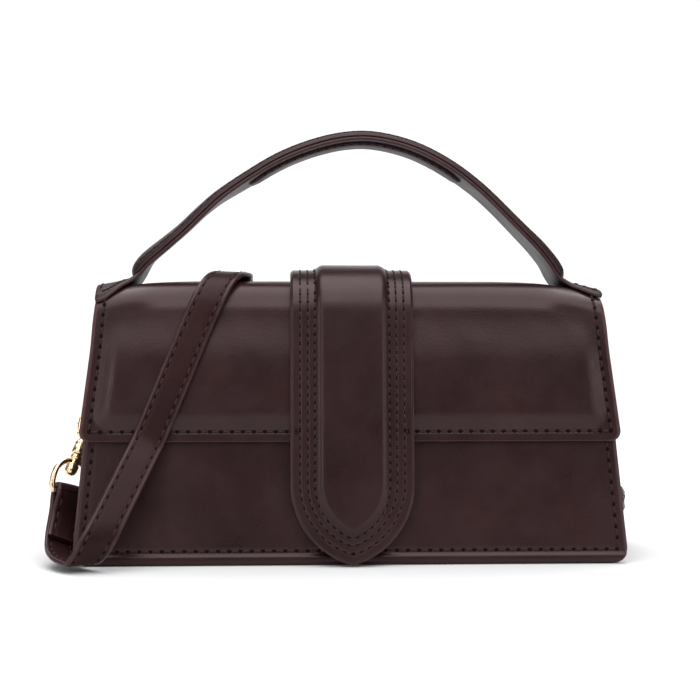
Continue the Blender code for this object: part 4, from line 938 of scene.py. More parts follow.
def gusset(name, side, node):
    """Side panel set back between the front and the back, folding inwards, with turned edges."""
    zs = np.linspace(3.0, 106.5, 40)
    vs = spaced_units(23, 0.08, 5)
    outer, inner = [], []
    for z in zs:
        ya = front_y(z) + PANEL_T + GAP
        fold = 2.0 * (1 - vs ** 2) + 0.9 * smooth((z - 45) / 60) * np.exp(-(vs / 0.16) ** 2)
        lip = -0.8 * smooth((np.abs(vs) - 0.90) / 0.1)
        x = half_width(z) - 5.0 - fold - lip * 0
        outer.append(np.stack([side * x, vs * -ya, np.full(len(vs), z)], 1))
        inner.append(np.stack([side * (x - 1.5), vs * -ya, np.full(len(vs), z)], 1))
    v, f, s = shell(np.array(outer), np.array(inner), bulge=0.15, rings=4, band=1)
    o = object_from(name, v, f, [SKIN, EDGE, FLESH], s, body="bag")
    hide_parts(node)
    r = Rows(name + "_rows")
    for end in (-1, 1):
        line, nn = [], []
        for z in np.linspace(6.0, 104.0, 80):
            ya = front_y(z) + PANEL_T + GAP
            vv = end * (1 - 3.2 / abs(ya))
            line.append((side * (half_width(z) - 5.0 - 2.0 * (1 - vv * vv)), vv * -ya, z))
            nn.append((side, 0, 0.08))
        r.add(line, nn, 4.8, radius=0.4)
    r.make("bag")
    # the skin's turned welt between gusset and panels
    for end in (-1, 1):
        pts = [(side * (half_width(z) - 4.1), end * (-front_y(z) - PANEL_T - GAP - 1.0), z) for z in np.linspace(3.4, 106.0, 50)]
        v, f = tube(pts, 0.85, 10, up=(1, 0, 0))
        w = object_from(name + ("_welt_front" if end < 0 else "_welt_back"), v, f, [EDGE], body="bag")
    return o


gusset("left_side", -1, "left_gusset")
gusset("right_side", 1, "right_gusset")


def bottom():
    """Foot panel with a turned edge and a row all round."""
    loops = []
    for z, s in ((0.02, 1.0), (0.0, 1.6), (0.0, 3.4), (0.12, 3.9), (0.12, 4.4), (0.0, 5.0)):
        loops.append((z, s))
    rings = []
    for z, s in [(2.7, 1.2), (2.7, 0.3), (2.3, 0.0), (1.4, -0.02), (0.5, 0.1), (0.12, 0.5), (0.0, 1.0), (0.0, 3.3), (0.14, 3.8), (0.14, 4.3), (0.0, 4.8), (0.0, 9.0)]:
        xa, ya, r = 116.5 - s, 32.9 - s, 3.0
        pts = []
        for cx, cy, a0 in ((xa - r, ya - r, 0), (-xa + r, ya - r, 90), (-xa + r, -ya + r, 180), (xa - r, -ya + r, 270)):
            for k in range(7):
                a = math.radians(a0 + 15 * k)
                pts.append((cx + r * math.cos(a), cy + r * math.sin(a), z))
        rings.append(pts)
    v, f = loft(rings)
    o = object_from("bag_foot", v, f, [SKIN], body="bag", sharp=50)
    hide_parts("bottom_panel")


bottom()


def lining_bag():
    """The lining: a twill bag that sags softly between its seams, with a turned rim."""
    def loop(z, inset, puff):
        hx = half_width(z) - 5.0 - 2.0 - 1.6 - GAP - 0.2 - inset
        hy = -front_y(z) - PANEL_T - GAP - inset
        r = 6.0
        pts = []
        corners = ((hx - r, hy - r, 0), (-hx + r, hy - r, 90), (-hx + r, -hy + r, 180), (hx - r, -hy + r, 270))
        for c, (cx, cy, a0) in enumerate(corners):
            for k in range(7):
                a = math.radians(a0 + 15 * k)
                pts.append((cx + r * math.cos(a), cy + r * math.sin(a), z))
            nx, ny, _ = corners[(c + 1) % 4]
            e0 = np.array(pts[-1][:2])
            a1 = math.radians(a0 + 90)
            e1 = np.array([nx + r * math.cos(a1), ny + r * math.sin(a1)])
            inward = unit(-(np.array([math.cos(math.radians(a0 + 90)), math.sin(math.radians(a0 + 90))])))
            long = c in (0, 2)
            m = 22 if long else 7
            for k in range(1, m):
                u = k / m
                q = e0 * (1 - u) + e1 * u + inward * puff * (math.sin(math.pi * u) * 0.5 + 0.16 * math.sin(2 * math.pi * u * (4 if long else 2) + z * 0.05))
                pts.append((q[0], q[1], z))
        return pts
    t, floor = 1.0, 5.3
    rings = [loop(floor, 1.5, 0), loop(floor + 1.2, 0.0, 0)] + [loop(z, 0.0, 0) for z in np.linspace(12, 100.2, 14)]
    rings += [loop(100.9, 0.25, 0), loop(101.1, 0.6, 0), loop(100.9, 0.95, 0.1)]
    rings += [loop(z, t, 1.4 * math.sin(math.pi * (z - 6) / 95.0) ** 0.8) for z in np.linspace(98.5, 9.0, 16)]
    rings += [loop(floor + 1.2 + t, t, 0), loop(floor + t, t + 1.5, 0), loop(floor + t, t + 12.0, 0), loop(floor + t, t + 22.0, 0)]
    v, f = loft(rings)
    o = object_from("lining_bag", v, f, [FABRIC], body="bag", sharp=60)
    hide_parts("lining")
    # leather facing along the inside of the rim
    rings = []
    for z, inset in ((86.0, 1.15), (86.0, 1.55), (86.6, 1.75), (100.2, 1.75), (101.2, 1.6), (101.5, 1.2), (101.5, 0.5), (101.2, 0.2), (101.2, 0.15), (101.3, 0.8), (100.9, 1.15), (90.0, 1.15)):
        rings.append(loop(z, inset, 0))
    v, f = loft(rings, closed=True)
    object_from("rim_facing", v, f, [FLESH], body="bag", sharp=50)


lining_bag()


def pocket():
    """Slip pocket: a sheet with a bound mouth, softly open at the top."""
    back = 1.0 + GAP
    hx, z0, z1, deep, t = 62.0, 32.0, 88.0, 4.0, 0.9
    us = spaced_units(33, 0.04, 4)
    zs = np.concatenate([np.linspace(z0, z0 + 2, 5), np.linspace(z0 + 5, z1 - 3, 20), np.linspace(z1 - 2.4, z1, 5)])
    outer, inner = [], []
    for z in zs:
        wall = -front_y(z) - PANEL_T - GAP - back
        mouth = smooth((z - z0) / 50.0)
        flat = 1 - np.abs(us) ** 10
        d = 0.5 + (deep - 0.5) * (0.35 + 0.65 * mouth) * flat * smooth((z - z0) / 3.0)
        hem = 0.25 * smooth((z - (z1 - 7.0)) / 0.6)
        outer.append(np.stack([us * hx, wall - d - hem, np.full(len(us), z)], 1))
        inner.append(np.stack([us * hx, wall - np.maximum(d - t, 0.05), np.full(len(us), z)], 1))
    v, f, s = shell(np.array(outer), np.array(inner), bulge=0.15, rings=4, band=0)
    o = object_from("pocket_sheet", v, f, [FABRIC, FLESH, FABRIC], s, body="bag")
    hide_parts("slip_pocket")
    r = Rows("pocket_rows")
    xs = np.linspace(-59.0, 59.0, 120)
    wall = -front_y(82.5) - PANEL_T - GAP - back
    r.add([(x, wall - 0.5 - 3.5 * (1 - abs(x / hx) ** 10) - 0.02, 82.2) for x in xs], [(0, -1, 0)] * 120, 3.2, radius=0.3)
    r.make("bag", slot="lining_fabric")


pocket()
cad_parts["base_board"].data.materials.clear()
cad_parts["base_board"].data.materials.append(BOARD)


# ---------------------------------------------------------------- flap
def skin_line(start_z, end_z, step=1.6, front_step=1.8, fine=(14, 16, 14)):
    """The outside of the flap in the Y-Z plane, from the back seam over the top and down."""
    pts, nor = [], []
    cb, cf = np.array(BACK_ROLL_C), np.array(FRONT_ROLL_C)
    zr = cb[1] + BACK_ROLL_R * math.sin(ANG)
    for s in np.arange(start_z, zr - 0.02, step):
        pts.append((PANEL_Y0 - LEAN * s, s))
        nor.append((math.cos(ANG), math.sin(ANG)))
    for i in range(fine[0] + 1):
        a = ANG + (math.pi / 2 - ANG) * i / fine[0]
        pts.append(cb + BACK_ROLL_R * np.array([math.cos(a), math.sin(a)]))
        nor.append((math.cos(a), math.sin(a)))
    for y in np.linspace(cb[0], cf[0], fine[1])[1:-1]:
        pts.append((y, TOP_Z))
        nor.append((0.0, 1.0))
    for i in range(fine[2] + 1):
        a = math.pi / 2 + (math.pi / 2 - ANG) * i / fine[2]
        pts.append(cf + FRONT_ROLL_R * np.array([math.cos(a), math.sin(a)]))
        nor.append((math.cos(a), math.sin(a)))
    z0 = pts[-1][1]
    n = max(1, int(round((z0 - end_z) / front_step)))
    for i in range(1, n + 1):
        z = z0 + (end_z - z0) * i / n
        pts.append((-FLAP_FRONT_Y0 + LEAN * z, z))
        nor.append((-math.cos(ANG), math.sin(ANG)))
    return np.array(pts, float), np.array(nor, float)


def flap_half(z):
    return np.where(z > 109.0, half_width(z) + 0.0, half_width(109.0) + 0.12 * (109.0 - z))


def flap_edge(y, z):
    """The flap's half width at the front keeps nearly straight up to the handle's ends."""
    front = float(smooth((14.0 - y) / 24.0))
    return float(flap_half(z)) + 1.0 * float(smooth((z - 90.0) / 22.0)) * front


FLAP_CORNER = 4.5
SEAM_LAP = 103.0


def flap_rows():
    p, n = skin_line(SEAM_LAP, FLAP_LOW_Z + FLAP_CORNER + 0.6)
    p, n = [tuple(q) for q in p], [tuple(q) for q in n]
    for a in np.linspace(0, math.pi / 2, 12):
        z = FLAP_LOW_Z + FLAP_CORNER * (1 - math.sin(a))
        p.append((-FLAP_FRONT_Y0 + LEAN * z, z))
        n.append((-math.cos(ANG), math.sin(ANG)))
    return np.array(p), np.array(n)


def flap_width(y, z):
    hw = flap_edge(y, z)
    d = z - FLAP_LOW_Z
    if y < 0 and d < FLAP_CORNER:
        hw -= FLAP_CORNER - math.sqrt(max(FLAP_CORNER ** 2 - (FLAP_CORNER - d) ** 2, 0.0))
    return hw


def pad_drop(x, y, z, s_front):
    """How far the leather lies below the pad's top: flat margins outside the sewn
    rows, a soft bevel inside them."""
    hw = flap_edge(y, z)
    side = hw - abs(x)
    foot = (z - FLAP_LOW_Z) if y < -13.0 else 60.0
    near = min(side, foot)
    if side < 16 and foot < 16:
        a, b = 16 - side, 16 - foot
        near = 16 - (a ** 3 + b ** 3) ** (1 / 3)
    lift = smooth((near - 4.2) / 8.5) ** 0.85
    groove = 0.30 * math.exp(-((near - 4.0) / 0.55) ** 2)
    # the pad rounds back softly towards the top
    crown = 1.7 * float(smooth((z - 87.0) / 22.0)) * float(smooth((122.3 - z) / 9.0)) if y < -12.0 else 0.0
    top = 1.0 if y < -16.0 else float(smooth((-y + 6.0) / 24.0)) if y < -2 else float(smooth((-y + 6.0) / 24.0))
    # the margins come up to the pad where the handle's ends lie on them
    level = 1.0 - 0.85 * float(smooth((z - 110.0) / 8.0)) * float(smooth((abs(x) - 84.0) / 8.0))
    return 1.5 * (1 - lift) * (0.25 + 0.75 * top) * level + groove * level * (0.4 + 0.6 * top) + crown * lift * level


def flap_point(u, y, z, ny, nz, depth, pad=True):
    hw = flap_width(y, z)
    x = u * hw
    fall = float(droop(np.array(x), z))
    lean = -LEAN * fall * (1 - float(smooth((z - SEAM_Z) / 8.0))) if y > 0 else 0.0
    off = depth + (pad_drop(x, y, z, 0) if pad else 0.0)
    if y > 0:
        off -= 1.05 * (1 - float(smooth((z - 109.0) / 7.0)))  # laps over the back panel
    return (x, y + lean - ny * off, z - nz * off + fall)


def make_flap():
    p, n = flap_rows()
    us = spaced_units(71, 0.16, 12)
    outer = np.array([[flap_point(u, y, z, ny, nz, 0.0) for u in us] for (y, z), (ny, nz) in zip(p, n)])
    inner = []
    for (y, z), (ny, nz) in zip(p, n):
        row = []
        for u in us:
            d = FLAP_T + (0.55 if y < 0 else 0.3)
            q = np.array(flap_point(u, y, z, ny, nz, 0.0, pad=False))
            if y > 0:
                back = float(smooth((z - 109.0) / 7.0))
                d = 0.9 * (1 - back) + d * back
            q = q - np.array([0, ny, nz]) * d
            row.append(q)
        inner.append(row)
    inner = np.array(inner)
    # a faint looseness of the leather over the soft pad
    xs, zs = outer[..., 0], outer[..., 2]
    wave = 0.10 * np.sin(xs * 0.071 + 0.6) * np.sin(zs * 0.115 + 1.0) + 0.06 * np.sin(xs * 0.19 + zs * 0.13)
    mask = smooth((108 - np.abs(xs)) / 14) * smooth((zs - 60) / 10) * (outer[..., 1] < -12)
    outer[..., 1] += np.abs(wave) * mask
    v, f, s = shell(outer, inner, bulge=0.35, rings=6, band=1)
    o = object_from("flap_skin", v, f, [SKIN, EDGE, FLESH], s)
    blend_mm(o)
    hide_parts("flap_panel")
    # sewn rows
    r = Rows("flap_rows")
    back = Rows("flap_back_rows")

    def row_point(u_of, y, z, ny, nz):
        x = u_of
        hw = float(flap_half(z))
        fall = float(droop(np.array(x), z))
        lean = -LEAN * fall * (1 - float(smooth((z - SEAM_Z) / 8.0))) if y > 0 else 0.0
        off = pad_drop(x, y, z, 0) - 0.30
        if y > 0:
            off -= 1.05 * (1 - float(smooth((z - 109.0) / 7.0)))
        return (x, y + lean - ny * off, z - nz * off + fall)
    for side in (-1, 1):
        line, nn = [], []
        for (y, z), (ny, nz) in zip(p, n):
            if y < -14.0 and z > FLAP_LOW_Z + 4.0:
                line.append(row_point(side * (flap_edge(y, z) - 4.0), y, z, ny, nz))
                nn.append((0, ny, nz))
        z = FLAP_LOW_Z + 4.0
        line.append(row_point(side * (float(flap_half(z)) - 4.0), -FLAP_FRONT_Y0 + LEAN * z, z, -math.cos(ANG), math.sin(ANG)))
        nn.append((0, -math.cos(ANG), math.sin(ANG)))
        r.add(line, nn, 4.7, radius=0.42)
        line, nn = [], []
        for (y, z), (ny, nz) in zip(p, n):
            if y > -12.0 and z > SEAM_LAP + 1.5:
                line.append(row_point(side * (flap_edge(y, z) - 4.0), y, z, ny, nz))
                nn.append((0, ny, nz))
        back.add(line, nn, 4.7, radius=0.40)
    z = FLAP_LOW_Z + 4.0
    xs = np.linspace(-1, 1, 240) * (float(flap_half(z)) - 4.0)
    line = [row_point(x, -FLAP_FRONT_Y0 + LEAN * z, z, -math.cos(ANG), math.sin(ANG)) for x in xs]
    r.add(line, [(0, -math.cos(ANG), math.sin(ANG))] * len(line), 4.7, radius=0.42)
    r.make("flap")
    z = SEAM_LAP + 1.6
    xs = np.linspace(-1, 1, 240) * (half_width(z) - 4.0)
    line = [row_point(x, PANEL_Y0 - LEAN * z, z, math.cos(ANG), math.sin(ANG)) for x in xs]
    back.add(line, [(0, math.cos(ANG), math.sin(ANG))] * len(line), 4.7, radius=0.40)
    for q in back.make():
        blend_mm(q)
    # lining of the flap
    keep = [i for i, (y, z) in enumerate(p) if not (y > 0 and z < SEAM_Z + 1.0) and not (y < 0 and z < FLAP_LOW_Z + 1.0)]
    q, m = p[keep], n[keep]
    us2 = spaced_units(41, 0.05, 4) * 0.985

    def lined(depth):
        return np.array([[np.array(flap_point(u, y, z, ny, nz, 0.0, pad=False)) - np.array([0, ny, nz]) * depth for u in us2] for (y, z), (ny, nz) in zip(q, m)])
    v, f, s = shell(lined(FLAP_T + GAP + 0.3), lined(FLAP_T + GAP + FLAP_LINING_T), bulge=0.1, rings=3)
    o = object_from("flap_inside", v, f, [FLESH, EDGE, FABRIC], s)
    blend_mm(o)
    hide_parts("flap_lining")


make_flap()


# ---------------------------------------------------------------- tab
def tab_outline(z):
    h = z - TAB_TIP_Z
    if h >= TAB_OGIVE:
        return TAB_HALF
    r = (TAB_OGIVE ** 2 + TAB_HALF ** 2) / (2 * TAB_HALF)
    w = TAB_HALF - r + math.sqrt(max(r * r - (TAB_OGIVE - h) ** 2, 0.0))
    # the arcs meet in a point here: this outline does not round the tip
    return max(w, 0.0)


def tab_gap(s, span_):
    return GAP + TAB_ARCH * smooth((s - span_[0]) / 12.0) * (1 - smooth((s - span_[1]) / 20.0))


ARC_R = (TAB_OGIVE ** 2 + TAB_HALF ** 2) / (2 * TAB_HALF)
TIP_ROUND = 9.0


def tab_border():
    """The tab's outline round its foot in its own flat plane: (x, height) along two arcs from the left side round the
    tip to the right one."""
    zc = TAB_TIP_Z + TAB_OGIVE
    pts = []
    # two arcs meeting in a point
    for side in (-1, 1):
        arc = []
        for a in np.linspace(0, math.asin(min(1.0, TAB_OGIVE / ARC_R)), 60):
            arc.append((side * (TAB_HALF - ARC_R + ARC_R * math.cos(a)), zc - ARC_R * math.sin(a)))
        pts.append(arc)
    line = pts[0] + pts[1][::-1]
    return np.array(line)


def inset_half(z, inset):
    """Half width at a height of the tab's outline moved inwards by inset."""
    zc = TAB_TIP_Z + TAB_OGIVE
    if z >= zc:
        return TAB_HALF - inset
    r = ARC_R - inset
    dz = zc - z
    if dz >= r:
        return 0.0
    return max(TAB_HALF - ARC_R + math.sqrt(r * r - dz * dz), 0.0)


def inset_foot(inset):
    """Height of that moved outline's lowest point."""
    r = ARC_R - inset
    c = ARC_R - TAB_HALF
    return TAB_TIP_Z + TAB_OGIVE - math.sqrt(max(r * r - c * c, 0.0))


def border_distance(x, z, y):
    """Distance in from the tab's outline."""
    if y > 0 or z >= TAB_TIP_Z + TAB_OGIVE:
        return TAB_HALF - abs(x)
    dz = TAB_TIP_Z + TAB_OGIVE - z
    return ARC_R - math.hypot(abs(x) - (TAB_HALF - ARC_R), dz)


def tab_lift(x, y, z, s):
    """Height of the tab's face over its margin: the raised middle and the sewn valleys."""
    d = border_distance(x, z, y)
    up = 0.25 + 0.75 * float(smooth((s - 2.0) / 16.0))
    h = TAB_RAISE * up * float(smooth((d - 9.6) / 4.2)) ** 0.8
    for k in TAB_ROWS:
        h -= 0.22 * math.exp(-((d - k) / 0.5) ** 2)
    h -= 0.7 * (1 - float(smooth((d + 0.15) / 1.0)))
    return h


TAB_ROWS = (3.9, 7.2, 10.5)


def tab_lines():
    p, n = skin_line(86.0, TAB_TIP_Z + TAB_OGIVE + 1.0, step=1.4, front_step=1.5)
    p, n = [tuple(q) for q in p], [tuple(q) for q in n]
    total_h = TAB_OGIVE
    for a in np.linspace(0, 1, 56):
        z = TAB_TIP_Z + TAB_OGIVE * (1 - a) ** 1.25
        p.append((-FLAP_FRONT_Y0 + LEAN * z, z))
        n.append((-math.cos(ANG), math.sin(ANG)))
    return np.array(p), np.array(n)


def make_tab():
    p, n = tab_lines()
    s = lengths(p)
    seam = s[int(np.argmax(p[:, 1] >= SEAM_Z))]
    s = s - seam
    s_front = s[int(np.argmax(p[:, 0] < FRONT_ROLL_C[0] - FRONT_ROLL_R * 0.8))]
    span_ = (5.0, s_front - 20.0)
    us = np.concatenate([-1 + 0.42 * np.linspace(0, 1, 34) ** 1.1, np.linspace(-0.54, 0.54, 21), 1 - 0.42 * np.linspace(1, 0, 34) ** 1.1])
    base = TAB_LINING_T + GAP + TAB_T

    def at(x, i, extra):
        y, z = p[i]
        ny, nz = n[i]
        g = tab_gap(s[i], span_) if s[i] > 0 else GAP
        lift = g + extra
        back = 1.0 - float(smooth((s[i] + 4.0) / 8.0))
        lift += 0.55 * back
        return np.array([x, y + ny * lift, z + nz * lift])
    outer, inner = [], []
    for i in range(len(p)):
        y, z = p[i]
        w = tab_outline(z) if y < 0 and z < 60 else TAB_HALF
        w = max(w, 0.05)
        if i < 8:
            w = TAB_HALF - 2.0 * (1 - i / 8.0) ** 2
        outer.append([at(u * w, i, base + tab_lift(u * w, y, z, s[i])) for u in us])
        inner.append([at(u * w, i, 0.05) for u in us])
    v, f, sl = shell(np.array(outer), np.array(inner), bulge=0.4, rings=6, band=1)
    o = object_from("tab_skin", v, f, [SKIN, EDGE, FLESH], sl, merge=0.02)
    blend_mm(o)
    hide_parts("tab_panel", "tab_lining", "tab_back")
    # three sewn rows in each margin, running round the foot
    low, high = Rows("tab_rows"), Rows("tab_over_rows")
    for k, inset in enumerate(TAB_ROWS):
        foot = inset_foot(inset)
        line_l, nn_l = [], []
        front = [i for i in range(len(p)) if p[i][0] < -24.0 and p[i][1] > TAB_TIP_Z + TAB_OGIVE]
        for i in front:
            line_l.append(at(-(TAB_HALF - inset), i, base + tab_lift(TAB_HALF - inset, p[i][0], p[i][1], s[i]) + 0.03))
            nn_l.append((0, n[i][0], n[i][1]))
        ang = np.linspace(0, math.asin((TAB_TIP_Z + TAB_OGIVE - foot) / (ARC_R - inset)), 50)
        curve_pts = [(-(TAB_HALF - ARC_R + (ARC_R - inset) * math.cos(a)), TAB_TIP_Z + TAB_OGIVE - (ARC_R - inset) * math.sin(a)) for a in ang]
        # the two arcs meet in a small round
        both = curve_pts + [(-x, z) for x, z in curve_pts[::-1][1:]]
        both = np.array(both)
        near = np.abs(both[:, 0]) < 4.0
        both[near, 1] = np.maximum(both[near, 1], foot + 0.55 * (1 - (both[near, 0] / 4.0) ** 2) * 1.0)
        for x, z in both:
            y = -FLAP_FRONT_Y0 + LEAN * z
            h = base + tab_lift(x, y, z, 99.0) + GAP + 0.03
            line_l.append(np.array([x, y - math.cos(ANG) * h, z + math.sin(ANG) * h]))
            nn_l.append((0, -math.cos(ANG), math.sin(ANG)))
        for i in front[::-1]:
            line_l.append(at(TAB_HALF - inset, i, base + tab_lift(TAB_HALF - inset, p[i][0], p[i][1], s[i]) + 0.03))
            nn_l.append((0, n[i][0], n[i][1]))
        low.add(line_l, nn_l, 3.7, radius=0.40)
        for side in (-1, 1):
            line_h, nn_h = [], []
            for i in range(6, len(p)):
                if p[i][0] >= -24.0:
                    line_h.append(at(side * (TAB_HALF - inset), i, base + tab_lift(TAB_HALF - inset, p[i][0], p[i][1], s[i]) + 0.03))
                    nn_h.append((0, n[i][0], n[i][1]))
            high.add(line_h, nn_h, 3.7, radius=0.38)
    # bartacks across the margins at the flap's edge
    for side in (-1, 1):
        z = FLAP_LOW_Z + 4.0
        y = -FLAP_FRONT_Y0 + LEAN * z
        for k in range(2):
            line, nn = [], []
            for d in np.linspace(0.8, 3.6, 6):
                x = side * (TAB_HALF - d)
                h = base + tab_lift(x, y, z, 99.0) + GAP + 0.25
                line.append((x, y - math.cos(ANG) * h, z + math.sin(ANG) * h - 0.5 + k * 0.9))
                nn.append((0, -math.cos(ANG), math.sin(ANG)))
            low.add(line, nn, 1.4, radius=0.34)
    low.make("flap")
    for q in high.make():
        blend_mm(q)


make_tab()


# ---------------------------------------------------------------- handle
def roll_drop(y):
    if y < FRONT_ROLL_C[0]:
        d = min(FRONT_ROLL_C[0] - y, FRONT_ROLL_R - 0.6)
        return FRONT_ROLL_R - math.sqrt(FRONT_ROLL_R ** 2 - d * d)
    if y > BACK_ROLL_C[0]:
        d = min(y - BACK_ROLL_C[0], BACK_ROLL_R - 0.6)
        return BACK_ROLL_R - math.sqrt(BACK_ROLL_R ** 2 - d * d)
    return 0.0


def under(x, y, z):
    k = float(smooth((abs(x) - 89.0) / 9.0))
    top = TOP_Z - roll_drop(y)
    lying = top + float(droop(np.array(x), top)) + 0.62
    # the arms are turned a little about their own length: the back edges lie higher
    turn = (0.13 if x < 0 else 0.08) * float(smooth((abs(x) - 44.0) / 26.0)) * (1 - float(smooth((abs(x) - 89.0) / 7.0)))
    return max(z - k * roll_drop(y) + turn * (y + 14.0), lying if abs(x) > 84.0 else -1e9)


def strip_half(x):
    a = abs(x)
    w = 12.5 + 3.5 * float(smooth((a - 45.0) / 40.0))
    # the right end lies further back on the roll
    return w + (10.0 if x < 0 else 5.5) * float(smooth((a - 92.0) / 17.0)), w + 4.5 * float(smooth((a - 92.0) / 17.0))


def arch_line(step):
    line = curve(STRIP_PATH, step)
    t = np.gradient(line, axis=0)
    t = t / np.linalg.norm(t, axis=1)[:, None]
    return line, np.stack([-t[:, 1], t[:, 0]], 1)


def make_handle():
    line, nrm = arch_line(1.9)
    s = lengths(line)
    xs = line[:, 0]
    us = spaced_units(41, 0.14, 7)

    def strip_at(x, z, nx, nz, u, off):
        front, back = strip_half(x)
        y = u * front if u < 0 else u * back
        # a soft groove beside the sewn rows and a turned-down lip at the edge
        hw = front if u < 0 else back
        edge = (1 - abs(u)) * hw
        o = off
        if off > 1.0:
            o -= 0.35 * (1 - float(smooth(edge / 1.0))) + 0.15 * math.exp(-((edge - 2.4) / 0.5) ** 2)
        return (x + nx * o, y, under(x, y, z) + nz * o)
    outer = np.array([[strip_at(x, z, nx, nz, u, STRIP_T) for u in us] for (x, z), (nx, nz) in zip(line, nrm)])
    inner = np.array([[strip_at(x, z, nx, nz, u, 0.0) for u in us] for (x, z), (nx, nz) in zip(line, nrm)])
    v, f, sl = shell(outer, inner, bulge=0.3, rings=6, band=0)
    o = object_from("handle_base", v, f, [GRIP_SKIN, DARK_EDGE, GRIP_SKIN], sl, body="flap")
    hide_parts("handle_strip")
    # domed cover
    a, b = np.interp(-95.5, xs, s), np.interp(95.0, xs, s)
    at = np.concatenate([a + 6.0 * (1 - np.cos(np.linspace(0, math.pi / 2, 12))), np.linspace(a + 7.5, b - 7.5, 120), b - 6.0 * (1 - np.cos(np.linspace(math.pi / 2, 0, 12)))])
    cl = np.stack([np.interp(at, s, line[:, 0]), np.interp(at, s, line[:, 1])], 1)
    cn = np.stack([np.interp(at, s, nrm[:, 0]), np.interp(at, s, nrm[:, 1])], 1)
    cn = cn / np.linalg.norm(cn, axis=1)[:, None]
    base = STRIP_T + 0.1
    vs = np.concatenate([-1 + 0.16 * (1 - np.cos(np.linspace(0, math.pi / 2, 9))), np.linspace(-0.80, 0.80, 29), 1 - 0.16 * (1 - np.cos(np.linspace(math.pi / 2, 0, 9)))])
    top, low = [], []
    row_front, row_back, row_n = [], [], []
    for i, ((x, z), (nx, nz)) in enumerate(zip(cl, cn)):
        front, back = strip_half(min(max(x, -90), 90))
        d = min(at[i] - a, b - at[i])
        e = math.sqrt(max(1 - (1 - min(d, 6.0) / 6.0) ** 2, 0.0)) if d < 6.0 else 1.0
        w = (min(front, back) - 0.6) * (0.50 + 0.50 * e)
        bulge = 1.0 + 0.35 * float(smooth((abs(x) - 70.0) / 20.0))
        rt, rl = [], []

        def height(u):
            au = min(abs(u), 1.0)
            dome = (1 - au ** 2.6) ** 0.62
            sewn = 0.22 * math.exp(-((au - 0.86) / 0.045) ** 2)
            return max((0.9 + (COVER_H - 1.0) * bulge * dome) * (0.30 + 0.70 * e) - sewn * e, 0.12)
        for u in vs:
            y = u * w
            zz = under(x, y, z)
            h = height(u)
            rl.append((x + nx * base, y, zz + nz * base))
            rt.append((x + nx * (base + h), y, zz + nz * (base + h)))
        top.append(rt)
        low.append(rl)
        if 4.0 < at[i] - a and b - at[i] > 4.0:
            for lst, sg in ((row_front, -1), (row_back, 1)):
                y = sg * 0.86 * w
                h = base + height(0.86) + 0.02
                lst.append((x + nx * h, y, under(x, y, z) + nz * h))
            row_n.append((nx, 0.9, nz))
    v, f, sl = shell(np.array(top), np.array(low), bulge=0.25, rings=5, band=0)
    o = object_from("handle_dome", v, f, [GRIP_SKIN, DARK_EDGE, FLESH], sl, body="flap")
    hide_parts("handle_cover")
    r = Rows("handle_rows")
    nf = [(q[0] * 0.6, -0.75, q[2] * 0.6) for q in row_n]
    nb = [(q[0] * 0.6, 0.75, q[2] * 0.6) for q in row_n]
    r.add(row_front, nf, 4.0, radius=0.42)
    r.add(row_back, nb, 4.0, radius=0.42)
    # the wider strip ends, sewn down over the corners
    for sg in (-1, 1):
        for u_side in (-1, 1):
            pts, nn = [], []
            for (x, z), (nx, nz) in zip(line, nrm):
                if sg * x > 97.0 and abs(x) < 109.0:
                    front, back = strip_half(x)
                    hw = front if u_side < 0 else back
                    y = u_side * (hw - 2.4)
                    pts.append((x + nx * (STRIP_T + 0.0), y, under(x, y, z) + nz * (STRIP_T + 0.0)))
                    nn.append((nx, 0.25 * u_side, nz))
            if len(pts) > 2:
                r.add(pts, nn, 3.6, radius=0.38)
        x = sg * 108.7
        i = int(np.argmin(np.abs(line[:, 0] - x)))
        nx, nz = nrm[i]
        for xx in (108.7, 99.0):
            i = int(np.argmin(np.abs(line[:, 0] - sg * xx)))
            nx, nz = nrm[i]
            front, back = strip_half(sg * xx)
            ys = np.linspace(-front + 2.6, back - 2.6, 60)
            pts = [(line[i, 0] + nx * STRIP_T, y, under(line[i, 0], y, line[i, 1]) + nz * STRIP_T) for y in ys]
            if xx > 100:
                r.add(pts, [(nx, 0, nz)] * 60, 3.6, radius=0.38)
    r.make("flap")
    # liner under the middle
    a, b = np.interp(-45.0, xs, s), np.interp(50.5, xs, s)
    at = np.concatenate([a + 5.0 * (1 - np.cos(np.linspace(0, math.pi / 2, 9))), np.linspace(a + 6.5, b - 6.5, 50), b - 5.0 * (1 - np.cos(np.linspace(math.pi / 2, 0, 9)))])
    cl = np.stack([np.interp(at, s, line[:, 0]), np.interp(at, s, line[:, 1])], 1)
    cn = np.stack([np.interp(at, s, nrm[:, 0]), np.interp(at, s, nrm[:, 1])], 1)
    cn = cn / np.linalg.norm(cn, axis=1)[:, None]
    ends = np.minimum(at - a, b - at)
    wid = GRIP_HALF * (0.45 + 0.55 * np.sqrt(np.clip(ends / 7.0, 0, 1)))
    cols = np.concatenate([-1 + 0.2 * (1 - np.cos(np.linspace(0, math.pi / 2, 6))), np.linspace(-0.7, 0.7, 9), 1 - 0.2 * (1 - np.cos(np.linspace(math.pi / 2, 0, 6)))])
    up, lo = [], []
    for i in range(len(at)):
        up.append([(cl[i, 0] - cn[i, 0] * GAP, y, cl[i, 1] - cn[i, 1] * GAP) for y in cols * wid[i]])
        row = []
        for c in cols:
            t = GAP + GRIP_T * (0.35 + 0.65 * (1 - abs(c) ** 4) ** 0.6) * (0.45 + 0.55 * min(1.0, math.sqrt(max(ends[i], 0.0) / 4.0)))
            row.append((cl[i, 0] - cn[i, 0] * t, c * wid[i], cl[i, 1] - cn[i, 1] * t))
        lo.append(row)
    v, f, sl = shell(np.array(lo), np.array(up), bulge=0.2, rings=5, band=0)
